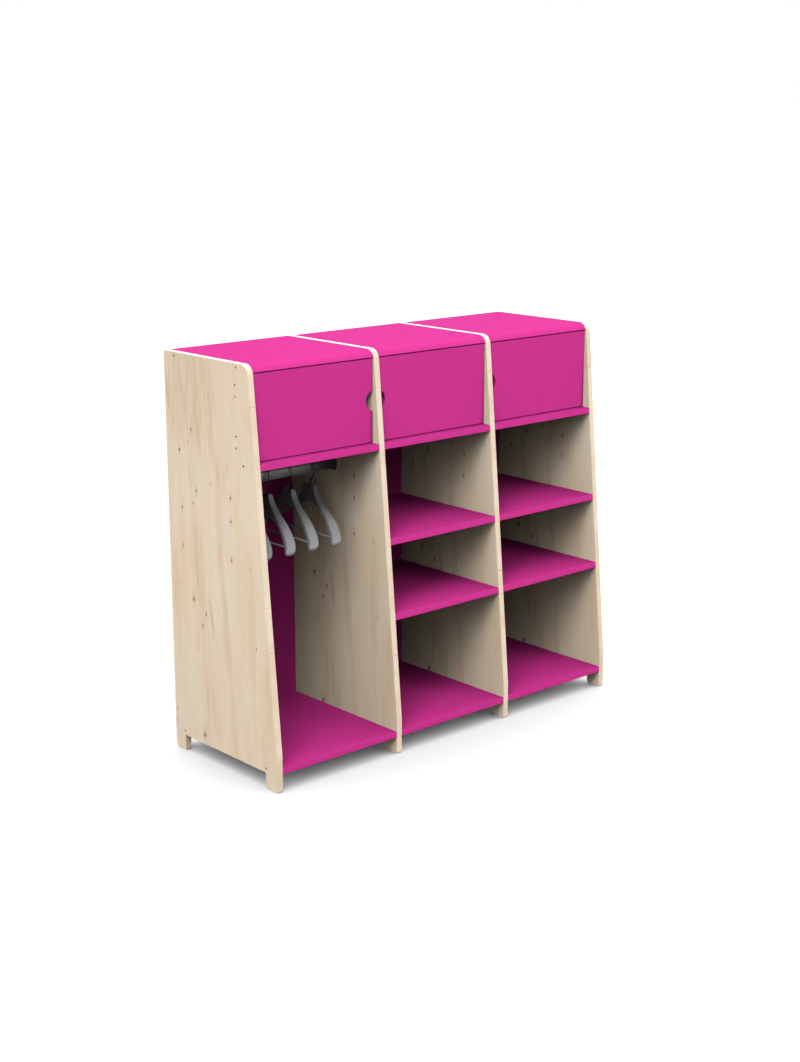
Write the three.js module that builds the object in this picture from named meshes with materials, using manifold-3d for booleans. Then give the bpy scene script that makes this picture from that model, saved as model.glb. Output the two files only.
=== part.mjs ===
// Children's wardrobe with three bays side by side, in millimetres, +Z up.
//
// Two solid spruce side panels and two dividers of the same outline, whose front edges lean back
// above a short upright foot, carry lacquered boards. Each bay has a top board with a rounded
// nose, a door, a shelf under the door, a bottom shelf and a back panel held in grooves. The left
// bay holds an oval hanging rail with four contoured hangers. The other two hold two shelves
// each, which slide over bent wires in the side panels. A door turns on two cup hinges and is
// opened by a finger notch in its free edge.
//
// The origin lies on the floor in the middle of the footprint. The front faces -Y.

import * as THREE from 'three';
import { mergeVertices } from 'three/addons/utils/BufferGeometryUtils.js';
import Module from 'manifold-3d';

const wasm = await Module();
wasm.setup();

// Overall sizes
const HEIGHT = 1190;
const BAY_WIDTH = 426;
const PANEL_THICKNESS = 19;
const DEPTH_AT_FLOOR = 490;
const DEPTH_AT_TOP = 390;

// Outline of a side panel
const UPRIGHT_HEIGHT = 110;
const UPRIGHT_BEND_RADIUS = 90;
const TOP_CORNER_RADIUS = 30;
const FOOT_HEIGHT = 48;
const BACK_FOOT_LENGTH = 48;
const FRONT_FOOT_LENGTH = 52;
const HEEL_RADIUS = 13;
const TOE_RADIUS = 4;

// Boards across each bay
const TOP_BOARD_THICKNESS = 22;
const SHELF_THICKNESS = 18;
const BOTTOM_SHELF_TOP = 70;
const LOWER_SHELF_TOP = 420;
const UPPER_SHELF_TOP = 642;
const LOOSE_SHELF_SIDE_GAP = 0.5;
const SHELF_BACK_GAP = 0.3;

// Back panels, held in grooves
const BACK_PANEL_THICKNESS = 8;
const BACK_PANEL_INSET = 4.6;
const GROOVE_DEPTH = 5;
const GROOVE_CLEARANCE = 0.3;

// Doors
const DOOR_HEIGHT = 241.5;
const DOOR_THICKNESS = 18;
const DOOR_SETBACK = 0.5;
const DOOR_SIDE_GAP = 2;
const DOOR_TOP_GAP = 3;
const DOOR_BOTTOM_GAP = 2.5;
const DOOR_EDGE_RADIUS = 2;
const NOTCH_RADIUS = 26;
const NOTCH_CENTRE_OUTSET = 1.5;
const NOTCH_FILLET_RADIUS = 11;

// Countersunk screws through the outer panels into the boards, and dowels through the dividers
const FASTENER_FRONT_INSET = 50;
const TOP_FASTENER_BACK_INSET = 50;
const DOOR_SHELF_FASTENER_BACK_INSET = 63;
const BOTTOM_FASTENER_BACK_INSET = 47;
const SCREW_HEAD_RADIUS = 3.2;
const SCREW_HEAD_DEPTH = 3;
const SCREW_SHANK_RADIUS = 2.4;
const SCREW_LENGTH = 50;
const DOWEL_RADIUS = 4;
const DOWEL_REACH = 25;
const HOLE_CLEARANCE = 0.3;
const SEAT_GAP = 0.3;

// Bent wires that carry the loose shelves
const SHELF_WIRE_RADIUS = 1.5;
const SHELF_WIRE_OUTSET = 4;
const SHELF_WIRE_BEND_RADIUS = 3;
const SHELF_WIRE_FRONT_INSET = 60;
const SHELF_WIRE_BACK_INSET = 40;
const WEB_BETWEEN_WIRE_HOLES = 2.4;

// Cup hinges: the cup and its pivot pin in the door
const HINGE_END_INSET = 50;
const CUP_RADIUS = 17.5;
const CUP_DEPTH = 13;
const CUP_WALL = 0.9;
const CUP_EDGE_DISTANCE = 22.5;
const CUP_FLANGE_WIDTH = 2;
const CUP_FLANGE_THICKNESS = 1;
const CUP_WING_WIDTH = 11;
const CUP_WING_LENGTH = 57;
const CUP_SCREW_SPACING = 45;
const CUP_SCREW_OFFSET = 9.5;
const CUP_SCREW_HEAD_RADIUS = 3;
const CUP_SCREW_SHANK_RADIUS = 1.6;
const CUP_SCREW_LENGTH = 11;
const PIVOT_EDGE_DISTANCE = 18;
const PIVOT_FACE_DISTANCE = 9;
const PIVOT_RADIUS = 1.2;
const BARREL_WALL = 0.9;

// Cup hinges: the cranked arm and its plate on the panel
const ARM_THICKNESS = 2;
const ARM_HEIGHT = 13;
const ARM_NECK_REACH = 12;
const ARM_NECK_RISE = 4;
const ARM_CLEAR_REACH = 15.5;
const ARM_CLEAR_RISE = 12;
const ARM_CRANK_START = 25;
const ARM_CRANK_END = 37;
const ARM_LENGTH = 72;
const CLAMP_SCREW_RADIUS = 3.4;
const CLAMP_SCREW_HEIGHT = 1.2;
const CLAMP_SCREW_SETBACK = 12;
const PLATE_BASE_THICKNESS = 2.5;
const PLATE_BODY_HEIGHT = 8;
const PLATE_BODY_LENGTH = 32;
const PLATE_BODY_WIDTH = 13;
const PLATE_WING_WIDTH = 14;
const PLATE_WING_LENGTH = 46;
const PLATE_BOLT_SPACING = 32;
const PLATE_BOLT_SETBACK = 37;
const PLATE_BOLT_RADIUS = 2;
const PLATE_BOLT_CAP_RADIUS = 2.7;
const PLATE_BOLT_CAP_DEPTH = 1.5;

// Oval hanging rail and its sockets
const RAIL_WIDTH = 15;
const RAIL_HEIGHT = 30;
const RAIL_WALL = 1.2;
const RAIL_DEPTH = 211;
const RAIL_DROP = 69;
const SOCKET_BASE = 2.5;
const SOCKET_LENGTH = 12;
const SOCKET_WALL = 2;
const SOCKET_FLANGE_WIDTH = 4;
const SOCKET_SCREW_SPACING = 14;
const SOCKET_SCREW_RADIUS = 1.8;
const SOCKET_SCREW_LENGTH = 14;

// Hangers
const HANGER_COUNT = 4;
const HANGER_END_ROOM = 89.25;
const HANGER_HALF_SPAN = 177;
const HANGER_DROP = 144;
const HANGER_SWEEP = 50;
const HANGER_NECK_LENGTH = 68;
const HANGER_HEAD_WIDTH = 18;
const HANGER_TIP_WIDTH = 34;
const HANGER_WALL = 2.2;
const HANGER_HEAD_ROOF = 9;
const HANGER_SHOULDER_ROUND = 3.5;
const TROUSER_BAR_RADIUS = 3;
const TROUSER_BAR_HEIGHT = 20;
const TROUSER_BAR_SWEEP = 46;
const TROUSER_BAR_REACH = 166;
const WIRE_RADIUS = 1.8;
const HOOK_RADIUS = 15.5;
const HOOK_STEM_HEIGHT = 14;
const HOOK_BUTTON_RADIUS = 4;
const HOOK_BUTTON_HEIGHT = 2.5;
const HOOK_CLEARANCE = 0.35;

// Facets, and the overrun that every cut shares
const OVERRUN = 5;
const CORNER_SEGMENTS = 3;
const NOTCH_SEGMENTS = 4;
const CUP_SIDES = 14;
const BARREL_SIDES = 12;
const BORE_SIDES = 8;
const SCREW_SIDES = 6;
const WIRE_SIDES = 6;
const WIRE_BEND_STEPS = 2;
const HOOK_STEPS = 24;

// Places worked out from the sizes above
const BAY_PITCH = BAY_WIDTH + PANEL_THICKNESS;
const BACK_Y = DEPTH_AT_FLOOR / 2;
const FRONT_Y = BACK_Y - DEPTH_AT_FLOOR;
const TOP_FRONT_Y = BACK_Y - DEPTH_AT_TOP;
const TOP_BOARD_UNDERSIDE = HEIGHT - TOP_BOARD_THICKNESS;
const BACK_PANEL_BACK_Y = BACK_Y - BACK_PANEL_INSET;
const BACK_PANEL_FRONT_Y = BACK_PANEL_BACK_Y - BACK_PANEL_THICKNESS;
const BACK_PANEL_BOTTOM = BOTTOM_SHELF_TOP - SHELF_THICKNESS;
const SHELF_BACK_Y = BACK_PANEL_FRONT_Y - SHELF_BACK_GAP;
const DOOR_FACE_Y = TOP_FRONT_Y + DOOR_SETBACK;
const DOOR_TOP = TOP_BOARD_UNDERSIDE - DOOR_TOP_GAP;
const DOOR_BOTTOM = DOOR_TOP - DOOR_HEIGHT;
const DOOR_SHELF_TOP = DOOR_BOTTOM - DOOR_BOTTOM_GAP;
const RAIL_Y = BACK_Y - RAIL_DEPTH;
const RAIL_CENTRE_HEIGHT = DOOR_SHELF_TOP - SHELF_THICKNESS - RAIL_DROP;

// The panels from left to right, and the bays between them
const panelNames = ['side_panel_left', 'divider_left', 'divider_right', 'side_panel_right'];
const looseShelves = [{ name: 'lower', top: LOWER_SHELF_TOP }, { name: 'upper', top: UPPER_SHELF_TOP }];
const bayPlans = [
  { name: 'left', doorHungOnLeft: true, shelves: [] },
  { name: 'middle', doorHungOnLeft: false, shelves: looseShelves },
  { name: 'right', doorHungOnLeft: false, shelves: looseShelves },
];
const TOTAL_WIDTH = bayPlans.length * BAY_PITCH + PANEL_THICKNESS;
const panelLeft = (index) => index * BAY_PITCH - TOTAL_WIDTH / 2;
const bays = bayPlans.map((plan, index) => ({
  ...plan,
  left: panelLeft(index) + PANEL_THICKNESS,
  right: panelLeft(index + 1),
  betweenDividers: index > 0 && index < bayPlans.length - 1,
}));
const [hangingBay] = bays;

// Y of the panels' front edge at a height
function frontEdgeAt(z) {
  const climb = Math.max(0, z - UPRIGHT_HEIGHT) / (HEIGHT - UPRIGHT_HEIGHT);
  return FRONT_Y + (TOP_FRONT_Y - FRONT_Y) * climb;
}

// Materials, with colours as seen in the photograph
const spruce = new THREE.MeshStandardMaterial({ color: 0xe3cdb0, roughness: 0.55, metalness: 0 });
const lacquer = new THREE.MeshStandardMaterial({ color: 0xd8318f, roughness: 0.4, metalness: 0 });
const steel = new THREE.MeshStandardMaterial({ color: 0xb9bcc0, roughness: 0.35, metalness: 0.9 });
const railMetal = new THREE.MeshStandardMaterial({ color: 0x3c4044, roughness: 0.35, metalness: 0.7 });
const greyPlastic = new THREE.MeshStandardMaterial({ color: 0x8f8f90, roughness: 0.5, metalness: 0 });
const darkWire = new THREE.MeshStandardMaterial({ color: 0x2a2a2b, roughness: 0.4, metalness: 0.7 });

// Closed geometry to a solid that can be cut and joined, and back
function toSolid(geometry) {
  const bare = geometry.clone();
  bare.deleteAttribute('normal');
  bare.deleteAttribute('uv');
  const merged = mergeVertices(bare);
  const vertProperties = Float32Array.from(merged.attributes.position.array);
  const triVerts = Uint32Array.from(merged.index.array);
  return new wasm.Manifold(new wasm.Mesh({ numProp: 3, vertProperties, triVerts }));
}

function toGeometry(solid) {
  const mesh = solid.getMesh();
  const indexed = new THREE.BufferGeometry();
  indexed.setAttribute('position', new THREE.BufferAttribute(mesh.vertProperties, 3));
  indexed.setIndex(new THREE.BufferAttribute(mesh.triVerts, 1));
  const flat = indexed.toNonIndexed();
  flat.computeVertexNormals();
  return flat;
}

const cut = (geometry, cutters) => toGeometry(
  cutters.reduce((solid, cutter) => solid.subtract(toSolid(cutter)), toSolid(geometry)),
);
const join = ([first, ...others]) => toGeometry(
  others.reduce((solid, other) => solid.add(toSolid(other)), toSolid(first)),
);
const common = (first, second) => toGeometry(toSolid(first).intersect(toSolid(second)));

// A block from its low and high corners
function block(low, high) {
  const size = high.map((value, axis) => value - low[axis]);
  const middle = high.map((value, axis) => (value + low[axis]) / 2);
  return new THREE.BoxGeometry(...size).translate(...middle);
}

// A closed outline whose corners [a, b, radius] are rounded where they have a radius
function roundedOutline(corners) {
  const shape = new THREE.Shape();
  corners.forEach(([a, b, radius], index) => {
    const corner = new THREE.Vector2(a, b);
    const draw = (point) => (index === 0 ? shape.moveTo(point.x, point.y) : shape.lineTo(point.x, point.y));
    if (!radius) {
      draw(corner);
      return;
    }
    const [beforeA, beforeB] = corners[(index + corners.length - 1) % corners.length];
    const [afterA, afterB] = corners[(index + 1) % corners.length];
    const toBefore = new THREE.Vector2(beforeA - a, beforeB - b).normalize();
    const toAfter = new THREE.Vector2(afterA - a, afterB - b).normalize();
    const halfAngle = Math.acos(toBefore.dot(toAfter)) / 2;
    const setback = radius / Math.tan(halfAngle);
    const start = corner.clone().addScaledVector(toBefore, setback);
    const end = corner.clone().addScaledVector(toAfter, setback);
    const inward = toBefore.clone().add(toAfter).normalize();
    const centre = corner.clone().addScaledVector(inward, radius / Math.sin(halfAngle));
    const startAngle = Math.atan2(start.y - centre.y, start.x - centre.x);
    const endAngle = Math.atan2(end.y - centre.y, end.x - centre.x);
    const clockwise = toBefore.cross(toAfter) > 0;
    draw(start);
    shape.absarc(centre.x, centre.y, radius, startAngle, endAngle, clockwise);
  });
  shape.closePath();
  return shape;
}

// Extrusions of an outline in (x, y) along +Z, in (y, z) along +X, or in (x, z) along -Y
function extrude(shape, depth, options = {}) {
  const settings = { depth, bevelEnabled: false, curveSegments: CORNER_SEGMENTS, ...options };
  return new THREE.ExtrudeGeometry(shape, settings);
}

const [X, Y, Z] = [new THREE.Vector3(1, 0, 0), new THREE.Vector3(0, 1, 0), new THREE.Vector3(0, 0, 1)];
const alongX = new THREE.Matrix4().makeBasis(Y, Z, X);
const towardsFront = new THREE.Matrix4().makeBasis(X, Z, Y.clone().negate());
const extrudeAlongX = (shape, depth) => extrude(shape, depth).applyMatrix4(alongX);

// A round rod between two places on the X, Y or Z axis
function rod(axis, radius, from, to, sides) {
  const geometry = new THREE.CylinderGeometry(radius, radius, to - from, sides);
  geometry.rotateY(Math.PI / sides);
  geometry.translate(0, (from + to) / 2, 0);
  if (axis === 'x') geometry.rotateZ(-Math.PI / 2);
  if (axis === 'z') geometry.rotateX(Math.PI / 2);
  return geometry;
}

// A countersunk screw's hole along +X, with the head's face at zero
function screwHole({ headRadius, headDepth, shankRadius, length }) {
  const profile = [
    new THREE.Vector2(0, -OVERRUN),
    new THREE.Vector2(headRadius, -OVERRUN),
    new THREE.Vector2(headRadius, 0),
    new THREE.Vector2(shankRadius, headDepth),
    new THREE.Vector2(shankRadius, length),
    new THREE.Vector2(0, length),
  ];
  return new THREE.LatheGeometry(profile, SCREW_SIDES).rotateZ(-Math.PI / 2);
}

// At each point of a flat route, the left-hand normal of the line that halves the bend there,
// lengthened so that what follows the route keeps its thickness round the bend
function mitres(route) {
  return route.map((point, index) => {
    const before = route[index - 1] ?? point;
    const after = route[index + 1] ?? point;
    const into = point.clone().sub(before).normalize();
    const onwards = after.clone().sub(point).normalize();
    const along = into.clone().add(onwards).normalize();
    const straightness = along.dot(index === 0 ? onwards : into);
    return new THREE.Vector2(-along.y, along.x).divideScalar(straightness);
  });
}

// A closed skin over a row of slices. Each has an outline, drawn anticlockwise as seen from
// ahead, and a function that places its points.
function loft(slices) {
  const count = slices[0].outline.length;
  const lastRow = (slices.length - 1) * count;
  const positions = slices.flatMap(
    ({ outline, place }) => outline.flatMap((point) => place(point).toArray()),
  );
  const triangles = [];
  for (let row = 0; row < lastRow; row += count) {
    for (let column = 0; column < count; column += 1) {
      const here = row + column;
      const beside = row + (column + 1) % count;
      triangles.push(here, beside, here + count, beside, beside + count, here + count);
    }
  }
  for (const [a, b, c] of THREE.ShapeUtils.triangulateShape(slices[0].outline, [])) {
    triangles.push(a, c, b);
  }
  for (const [a, b, c] of THREE.ShapeUtils.triangulateShape(slices.at(-1).outline, [])) {
    triangles.push(lastRow + a, lastRow + b, lastRow + c);
  }
  const geometry = new THREE.BufferGeometry();
  geometry.setAttribute('position', new THREE.Float32BufferAttribute(positions, 3));
  geometry.setIndex(triangles);
  return geometry;
}

// A round wire along a flat route. The placing function takes the two measures in the route's
// plane and the one out of it.
function sweepWire(route, radius, place) {
  const ring = Array.from({ length: WIRE_SIDES }, (_, side) => {
    const angle = (side + 1 / 2) * 2 * Math.PI / WIRE_SIDES;
    return new THREE.Vector2(radius * Math.cos(angle), radius * Math.sin(angle));
  });
  const normals = mitres(route);
  return loft(route.map((point, index) => ({
    outline: ring,
    place: (offset) => {
      const inPlane = point.clone().addScaledVector(normals[index], offset.x);
      return place(inPlane.x, inPlane.y, offset.y);
    },
  })));
}

// A flat strip of even thickness along a route
function stripOutline(route, thickness) {
  const normals = mitres(route);
  const side = (sign) => route.map(
    (point, index) => point.clone().addScaledVector(normals[index], sign * thickness / 2),
  );
  return new THREE.Shape([...side(-1), ...side(1).reverse()]);
}

const wardrobe = new THREE.Group();

function addPiece(name, geometry, material) {
  const mesh = new THREE.Mesh(geometry, material);
  mesh.name = name;
  wardrobe.add(mesh);
  return mesh;
}

// Outline that the panels share with the nose of the top boards
const panelOutline = roundedOutline([
  [BACK_Y, 0, HEEL_RADIUS],
  [BACK_Y, HEIGHT, 0],
  [TOP_FRONT_Y, HEIGHT, TOP_CORNER_RADIUS],
  [FRONT_Y, UPRIGHT_HEIGHT, UPRIGHT_BEND_RADIUS],
  [FRONT_Y, 0, TOE_RADIUS],
  [FRONT_Y + FRONT_FOOT_LENGTH, 0, HEEL_RADIUS],
  [FRONT_Y + FRONT_FOOT_LENGTH, FOOT_HEIGHT, 0],
  [BACK_Y - BACK_FOOT_LENGTH, FOOT_HEIGHT, 0],
  [BACK_Y - BACK_FOOT_LENGTH, 0, TOE_RADIUS],
]);

// The boards that tie the panels together, and the places [y, z] of their screws and dowels
function boardPlaces(middle, backInset) {
  return [[frontEdgeAt(middle) + FASTENER_FRONT_INSET, middle], [BACK_Y - backInset, middle]];
}
const topBoardPlaces = boardPlaces(HEIGHT - TOP_BOARD_THICKNESS / 2, TOP_FASTENER_BACK_INSET);
const doorShelfPlaces = boardPlaces(
  DOOR_SHELF_TOP - SHELF_THICKNESS / 2,
  DOOR_SHELF_FASTENER_BACK_INSET,
);
const bottomShelfPlaces = boardPlaces(
  BOTTOM_SHELF_TOP - SHELF_THICKNESS / 2,
  BOTTOM_FASTENER_BACK_INSET,
);
const allPlaces = [...topBoardPlaces, ...doorShelfPlaces, ...bottomShelfPlaces];

const connectingScrew = {
  headRadius: SCREW_HEAD_RADIUS + HOLE_CLEARANCE,
  headDepth: SCREW_HEAD_DEPTH,
  shankRadius: SCREW_SHANK_RADIUS + HOLE_CLEARANCE,
  length: SCREW_LENGTH + HOLE_CLEARANCE,
};

// Screw holes through the outer panels into the boards
function outerScrewHoles(places) {
  const leftFace = panelLeft(0);
  const rightFace = leftFace + TOTAL_WIDTH;
  return places.flatMap(([y, z]) => [
    screwHole(connectingScrew).translate(leftFace, y, z),
    screwHole(connectingScrew).rotateZ(Math.PI).translate(rightFace, y, z),
  ]);
}

// Dowels glued into the ends of the middle boards, through the dividers and into the outer ones
function dividerDowels(places, clearance) {
  return bays.filter((bay) => bay.betweenDividers).flatMap((bay) => places.flatMap(([y, z]) => {
    const reach = PANEL_THICKNESS + DOWEL_REACH + clearance;
    const radius = DOWEL_RADIUS + clearance;
    return [
      rod('x', radius, bay.left - reach, bay.left + DOWEL_REACH, BORE_SIDES).translate(0, y, z),
      rod('x', radius, bay.right - DOWEL_REACH, bay.right + reach, BORE_SIDES).translate(0, y, z),
    ];
  }));
}

// A bent wire whose ends sit in one panel's face, drawn for the left side of a shelf from the
// panel's face at X zero, and its holes
function wireSpan(top) {
  return {
    front: frontEdgeAt(top) + SHELF_WIRE_FRONT_INSET,
    back: SHELF_BACK_Y - SHELF_WIRE_BACK_INSET,
    middle: top - SHELF_THICKNESS / 2,
  };
}
const wireReach = (PANEL_THICKNESS - WEB_BETWEEN_WIRE_HOLES) / 2 - HOLE_CLEARANCE;

function shelfWire(top) {
  const { front, back, middle } = wireSpan(top);
  const bend = SHELF_WIRE_BEND_RADIUS;
  const bendX = SHELF_WIRE_OUTSET - bend;
  const bendAt = (y, from, to) => new THREE.EllipseCurve(bendX, y, bend, bend, from, to);
  const route = [
    new THREE.Vector2(-wireReach, front),
    ...bendAt(front + bend, -Math.PI / 2, 0).getPoints(WIRE_BEND_STEPS),
    ...bendAt(back - bend, 0, Math.PI / 2).getPoints(WIRE_BEND_STEPS),
    new THREE.Vector2(-wireReach, back),
  ];
  return sweepWire(route, SHELF_WIRE_RADIUS, (x, y, z) => new THREE.Vector3(x, y, middle + z));
}

function shelfWireHoles(top) {
  const { front, back, middle } = wireSpan(top);
  const radius = SHELF_WIRE_RADIUS + HOLE_CLEARANCE;
  return [front, back].map(
    (y) => rod('x', radius, -wireReach - HOLE_CLEARANCE, OVERRUN, SCREW_SIDES).translate(0, y, middle),
  );
}

// What is drawn for a bay's left side, from the panel's face at X zero, is placed there as it is
// or at the bay's right side as its mirror image
const mirrorAlongX = new THREE.Matrix4().makeScale(-1, 1, 1);

function atLeft(geometry, bay) {
  return geometry.clone().translate(bay.left, 0, 0);
}

function atRight(geometry, bay) {
  const flipped = toGeometry(toSolid(geometry).transform(mirrorAlongX.elements));
  return flipped.translate(bay.right, 0, 0);
}

const shelfWireHolesInPanels = bays.flatMap((bay) => bay.shelves.flatMap(({ top }) => (
  shelfWireHoles(top).flatMap((hole) => [atLeft(hole, bay), atRight(hole, bay)])
)));

// Hinge parts and doors are drawn for a door hung on its left, with X from the panel's face and
// Y from the door's face, and turned half round about Y for a door hung on its right
function placeAtDoor(geometry, bay, z) {
  const turned = geometry.clone();
  if (!bay.doorHungOnLeft) turned.rotateY(Math.PI);
  return turned.translate(bay.doorHungOnLeft ? bay.left : bay.right, DOOR_FACE_Y, z);
}

const hingeHeights = [
  { name: 'upper', z: DOOR_TOP - HINGE_END_INSET },
  { name: 'lower', z: DOOR_BOTTOM + HINGE_END_INSET },
];
const atEachHinge = (makeList, bay) => hingeHeights.flatMap(
  ({ z }) => makeList().map((geometry) => placeAtDoor(geometry, bay, z)),
);

// Bolts hold the hinge plates through the panel, each with a cap sunk in its far face
const plateBoltY = DOOR_THICKNESS + PLATE_BOLT_SETBACK;

function plateBoltHoles() {
  const bore = PLATE_BOLT_RADIUS + HOLE_CLEARANCE;
  const cap = PLATE_BOLT_CAP_RADIUS + HOLE_CLEARANCE;
  const capFrom = -PANEL_THICKNESS - OVERRUN;
  const capTo = -PANEL_THICKNESS + PLATE_BOLT_CAP_DEPTH;
  return [-1, 1].flatMap((side) => [
    rod('x', bore, capFrom, PLATE_BODY_HEIGHT, SCREW_SIDES),
    rod('x', cap, capFrom, capTo, BORE_SIDES),
  ].map((hole) => hole.translate(0, plateBoltY, side * PLATE_BOLT_SPACING / 2)));
}

// Screws hold each socket of the rail, drawn for the left one
function socketScrewHoles() {
  const radius = SOCKET_SCREW_RADIUS + HOLE_CLEARANCE;
  return [-1, 1].map((side) => rod('x', radius, -SOCKET_SCREW_LENGTH, OVERRUN, SCREW_SIDES)
    .translate(0, RAIL_Y, RAIL_CENTRE_HEIGHT + side * SOCKET_SCREW_SPACING / 2));
}

// Side panels and dividers
function groove(bay) {
  return block(
    [bay.left - GROOVE_DEPTH, BACK_PANEL_FRONT_Y - GROOVE_CLEARANCE, BACK_PANEL_BOTTOM - GROOVE_CLEARANCE],
    [bay.right + GROOVE_DEPTH, BACK_PANEL_BACK_Y + GROOVE_CLEARANCE, TOP_BOARD_UNDERSIDE + GROOVE_DEPTH],
  );
}
const panelCutters = [
  ...bays.map(groove),
  ...outerScrewHoles(allPlaces),
  ...dividerDowels(allPlaces, HOLE_CLEARANCE),
  ...shelfWireHolesInPanels,
  ...bays.flatMap((bay) => atEachHinge(plateBoltHoles, bay)),
  ...socketScrewHoles().flatMap((hole) => [atLeft(hole, hangingBay), atRight(hole, hangingBay)]),
];
panelNames.forEach((name, index) => {
  const panel = extrudeAlongX(panelOutline, PANEL_THICKNESS).translate(panelLeft(index), 0, 0);
  addPiece(name, cut(panel, panelCutters), spruce);
});

// A fixed board is screwed at an outer panel and dowelled at a divider
function fixedBoard(blank, bay, places) {
  if (bay.betweenDividers) return join([blank, ...dividerDowels(places, 0)]);
  return cut(blank, [...outerScrewHoles(places), ...dividerDowels(places, HOLE_CLEARANCE)]);
}

// The top boards take their nose from the panels' own corner
for (const bay of bays) {
  const bar = extrudeAlongX(panelOutline, BAY_WIDTH).translate(bay.left, 0, 0);
  const slab = block([bay.left, FRONT_Y, TOP_BOARD_UNDERSIDE], [bay.right, BACK_Y, HEIGHT]);
  const blank = cut(common(bar, slab), [groove(bay)]);
  addPiece(`top_board_${bay.name}`, fixedBoard(blank, bay, topBoardPlaces), lacquer);
}

// A shelf reaches from the back panel to the slanted front edge of the panels
function shelfBlank(left, right, top) {
  const underside = top - SHELF_THICKNESS;
  const outline = roundedOutline([
    [SHELF_BACK_Y, underside, 0],
    [SHELF_BACK_Y, top, 0],
    [frontEdgeAt(top), top, 0],
    [frontEdgeAt(underside), underside, 0],
  ]);
  return extrudeAlongX(outline, right - left).translate(left, 0, 0);
}

for (const bay of bays) {
  const doorShelf = shelfBlank(bay.left, bay.right, DOOR_SHELF_TOP);
  const bottomShelf = shelfBlank(bay.left, bay.right, BOTTOM_SHELF_TOP);
  addPiece(`door_shelf_${bay.name}`, fixedBoard(doorShelf, bay, doorShelfPlaces), lacquer);
  addPiece(`bottom_shelf_${bay.name}`, fixedBoard(bottomShelf, bay, bottomShelfPlaces), lacquer);
}

// A loose shelf slides from the front over its two wires, in a groove of each end that stops
// short of the front edge
for (const bay of bays) {
  for (const { name, top } of bay.shelves) {
    const blank = shelfBlank(bay.left + LOOSE_SHELF_SIDE_GAP, bay.right - LOOSE_SHELF_SIDE_GAP, top);
    const { front, middle } = wireSpan(top);
    const grown = SHELF_WIRE_RADIUS + HOLE_CLEARANCE;
    const wireGroove = block(
      [-OVERRUN, front - grown, middle - grown],
      [SHELF_WIRE_OUTSET + grown, SHELF_BACK_Y + OVERRUN, middle + grown],
    );
    const shelf = cut(blank, [atLeft(wireGroove, bay), atRight(wireGroove, bay)]);
    addPiece(`${name}_shelf_${bay.name}`, shelf, lacquer);
    addPiece(`${name}_shelf_wire_${bay.name}_1`, atLeft(shelfWire(top), bay), steel);
    addPiece(`${name}_shelf_wire_${bay.name}_2`, atRight(shelfWire(top), bay), steel);
  }
}

// Back panels stand in the grooves of the side panels and top boards
for (const bay of bays) {
  const reach = GROOVE_DEPTH - GROOVE_CLEARANCE;
  const panel = block(
    [bay.left - reach, BACK_PANEL_FRONT_Y, BACK_PANEL_BOTTOM],
    [bay.right + reach, BACK_PANEL_BACK_Y, TOP_BOARD_UNDERSIDE + reach],
  );
  addPiece(`back_panel_${bay.name}`, panel, lacquer);
}

// A door's outline has a finger notch in its free edge, with a fillet at each end of its mouth
function doorOutline(width, height) {
  const notchX = width + NOTCH_CENTRE_OUTSET;
  const filletX = width - NOTCH_FILLET_RADIUS;
  const filletRise = Math.sqrt((NOTCH_RADIUS + NOTCH_FILLET_RADIUS) ** 2 - (notchX - filletX) ** 2);
  const meetAngle = Math.atan2(filletRise, notchX - filletX);
  const shape = new THREE.Shape();
  shape.moveTo(0, -height / 2);
  shape.lineTo(width, -height / 2);
  shape.lineTo(width, -filletRise);
  shape.absarc(filletX, -filletRise, NOTCH_FILLET_RADIUS, 0, meetAngle, false);
  shape.absarc(notchX, 0, NOTCH_RADIUS, Math.PI + meetAngle, Math.PI - meetAngle, true);
  shape.absarc(filletX, filletRise, NOTCH_FILLET_RADIUS, -meetAngle, 0, false);
  shape.lineTo(width, height / 2);
  shape.lineTo(0, height / 2);
  shape.closePath();
  return shape;
}

const cupX = DOOR_SIDE_GAP + CUP_EDGE_DISTANCE;
const cupScrewX = cupX + CUP_SCREW_OFFSET;
const flangeBase = DOOR_THICKNESS + SEAT_GAP;
const flangeTop = flangeBase + CUP_FLANGE_THICKNESS;
const cupScrew = {
  headRadius: CUP_SCREW_HEAD_RADIUS + HOLE_CLEARANCE,
  headDepth: CUP_FLANGE_THICKNESS,
  shankRadius: CUP_SCREW_SHANK_RADIUS + HOLE_CLEARANCE,
  length: CUP_SCREW_LENGTH,
};

// Screw holes of one cup, through its wings into the door's back
function cupScrewHoles() {
  return [-1, 1].map((side) => screwHole(cupScrew)
    .rotateZ(-Math.PI / 2)
    .translate(cupScrewX, flangeTop, side * CUP_SCREW_SPACING / 2));
}

function cupPocket() {
  const floor = DOOR_THICKNESS - CUP_DEPTH - HOLE_CLEARANCE;
  const pocket = rod('y', CUP_RADIUS + HOLE_CLEARANCE, floor, DOOR_THICKNESS + OVERRUN, CUP_SIDES);
  return pocket.translate(cupX, 0, 0);
}

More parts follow.
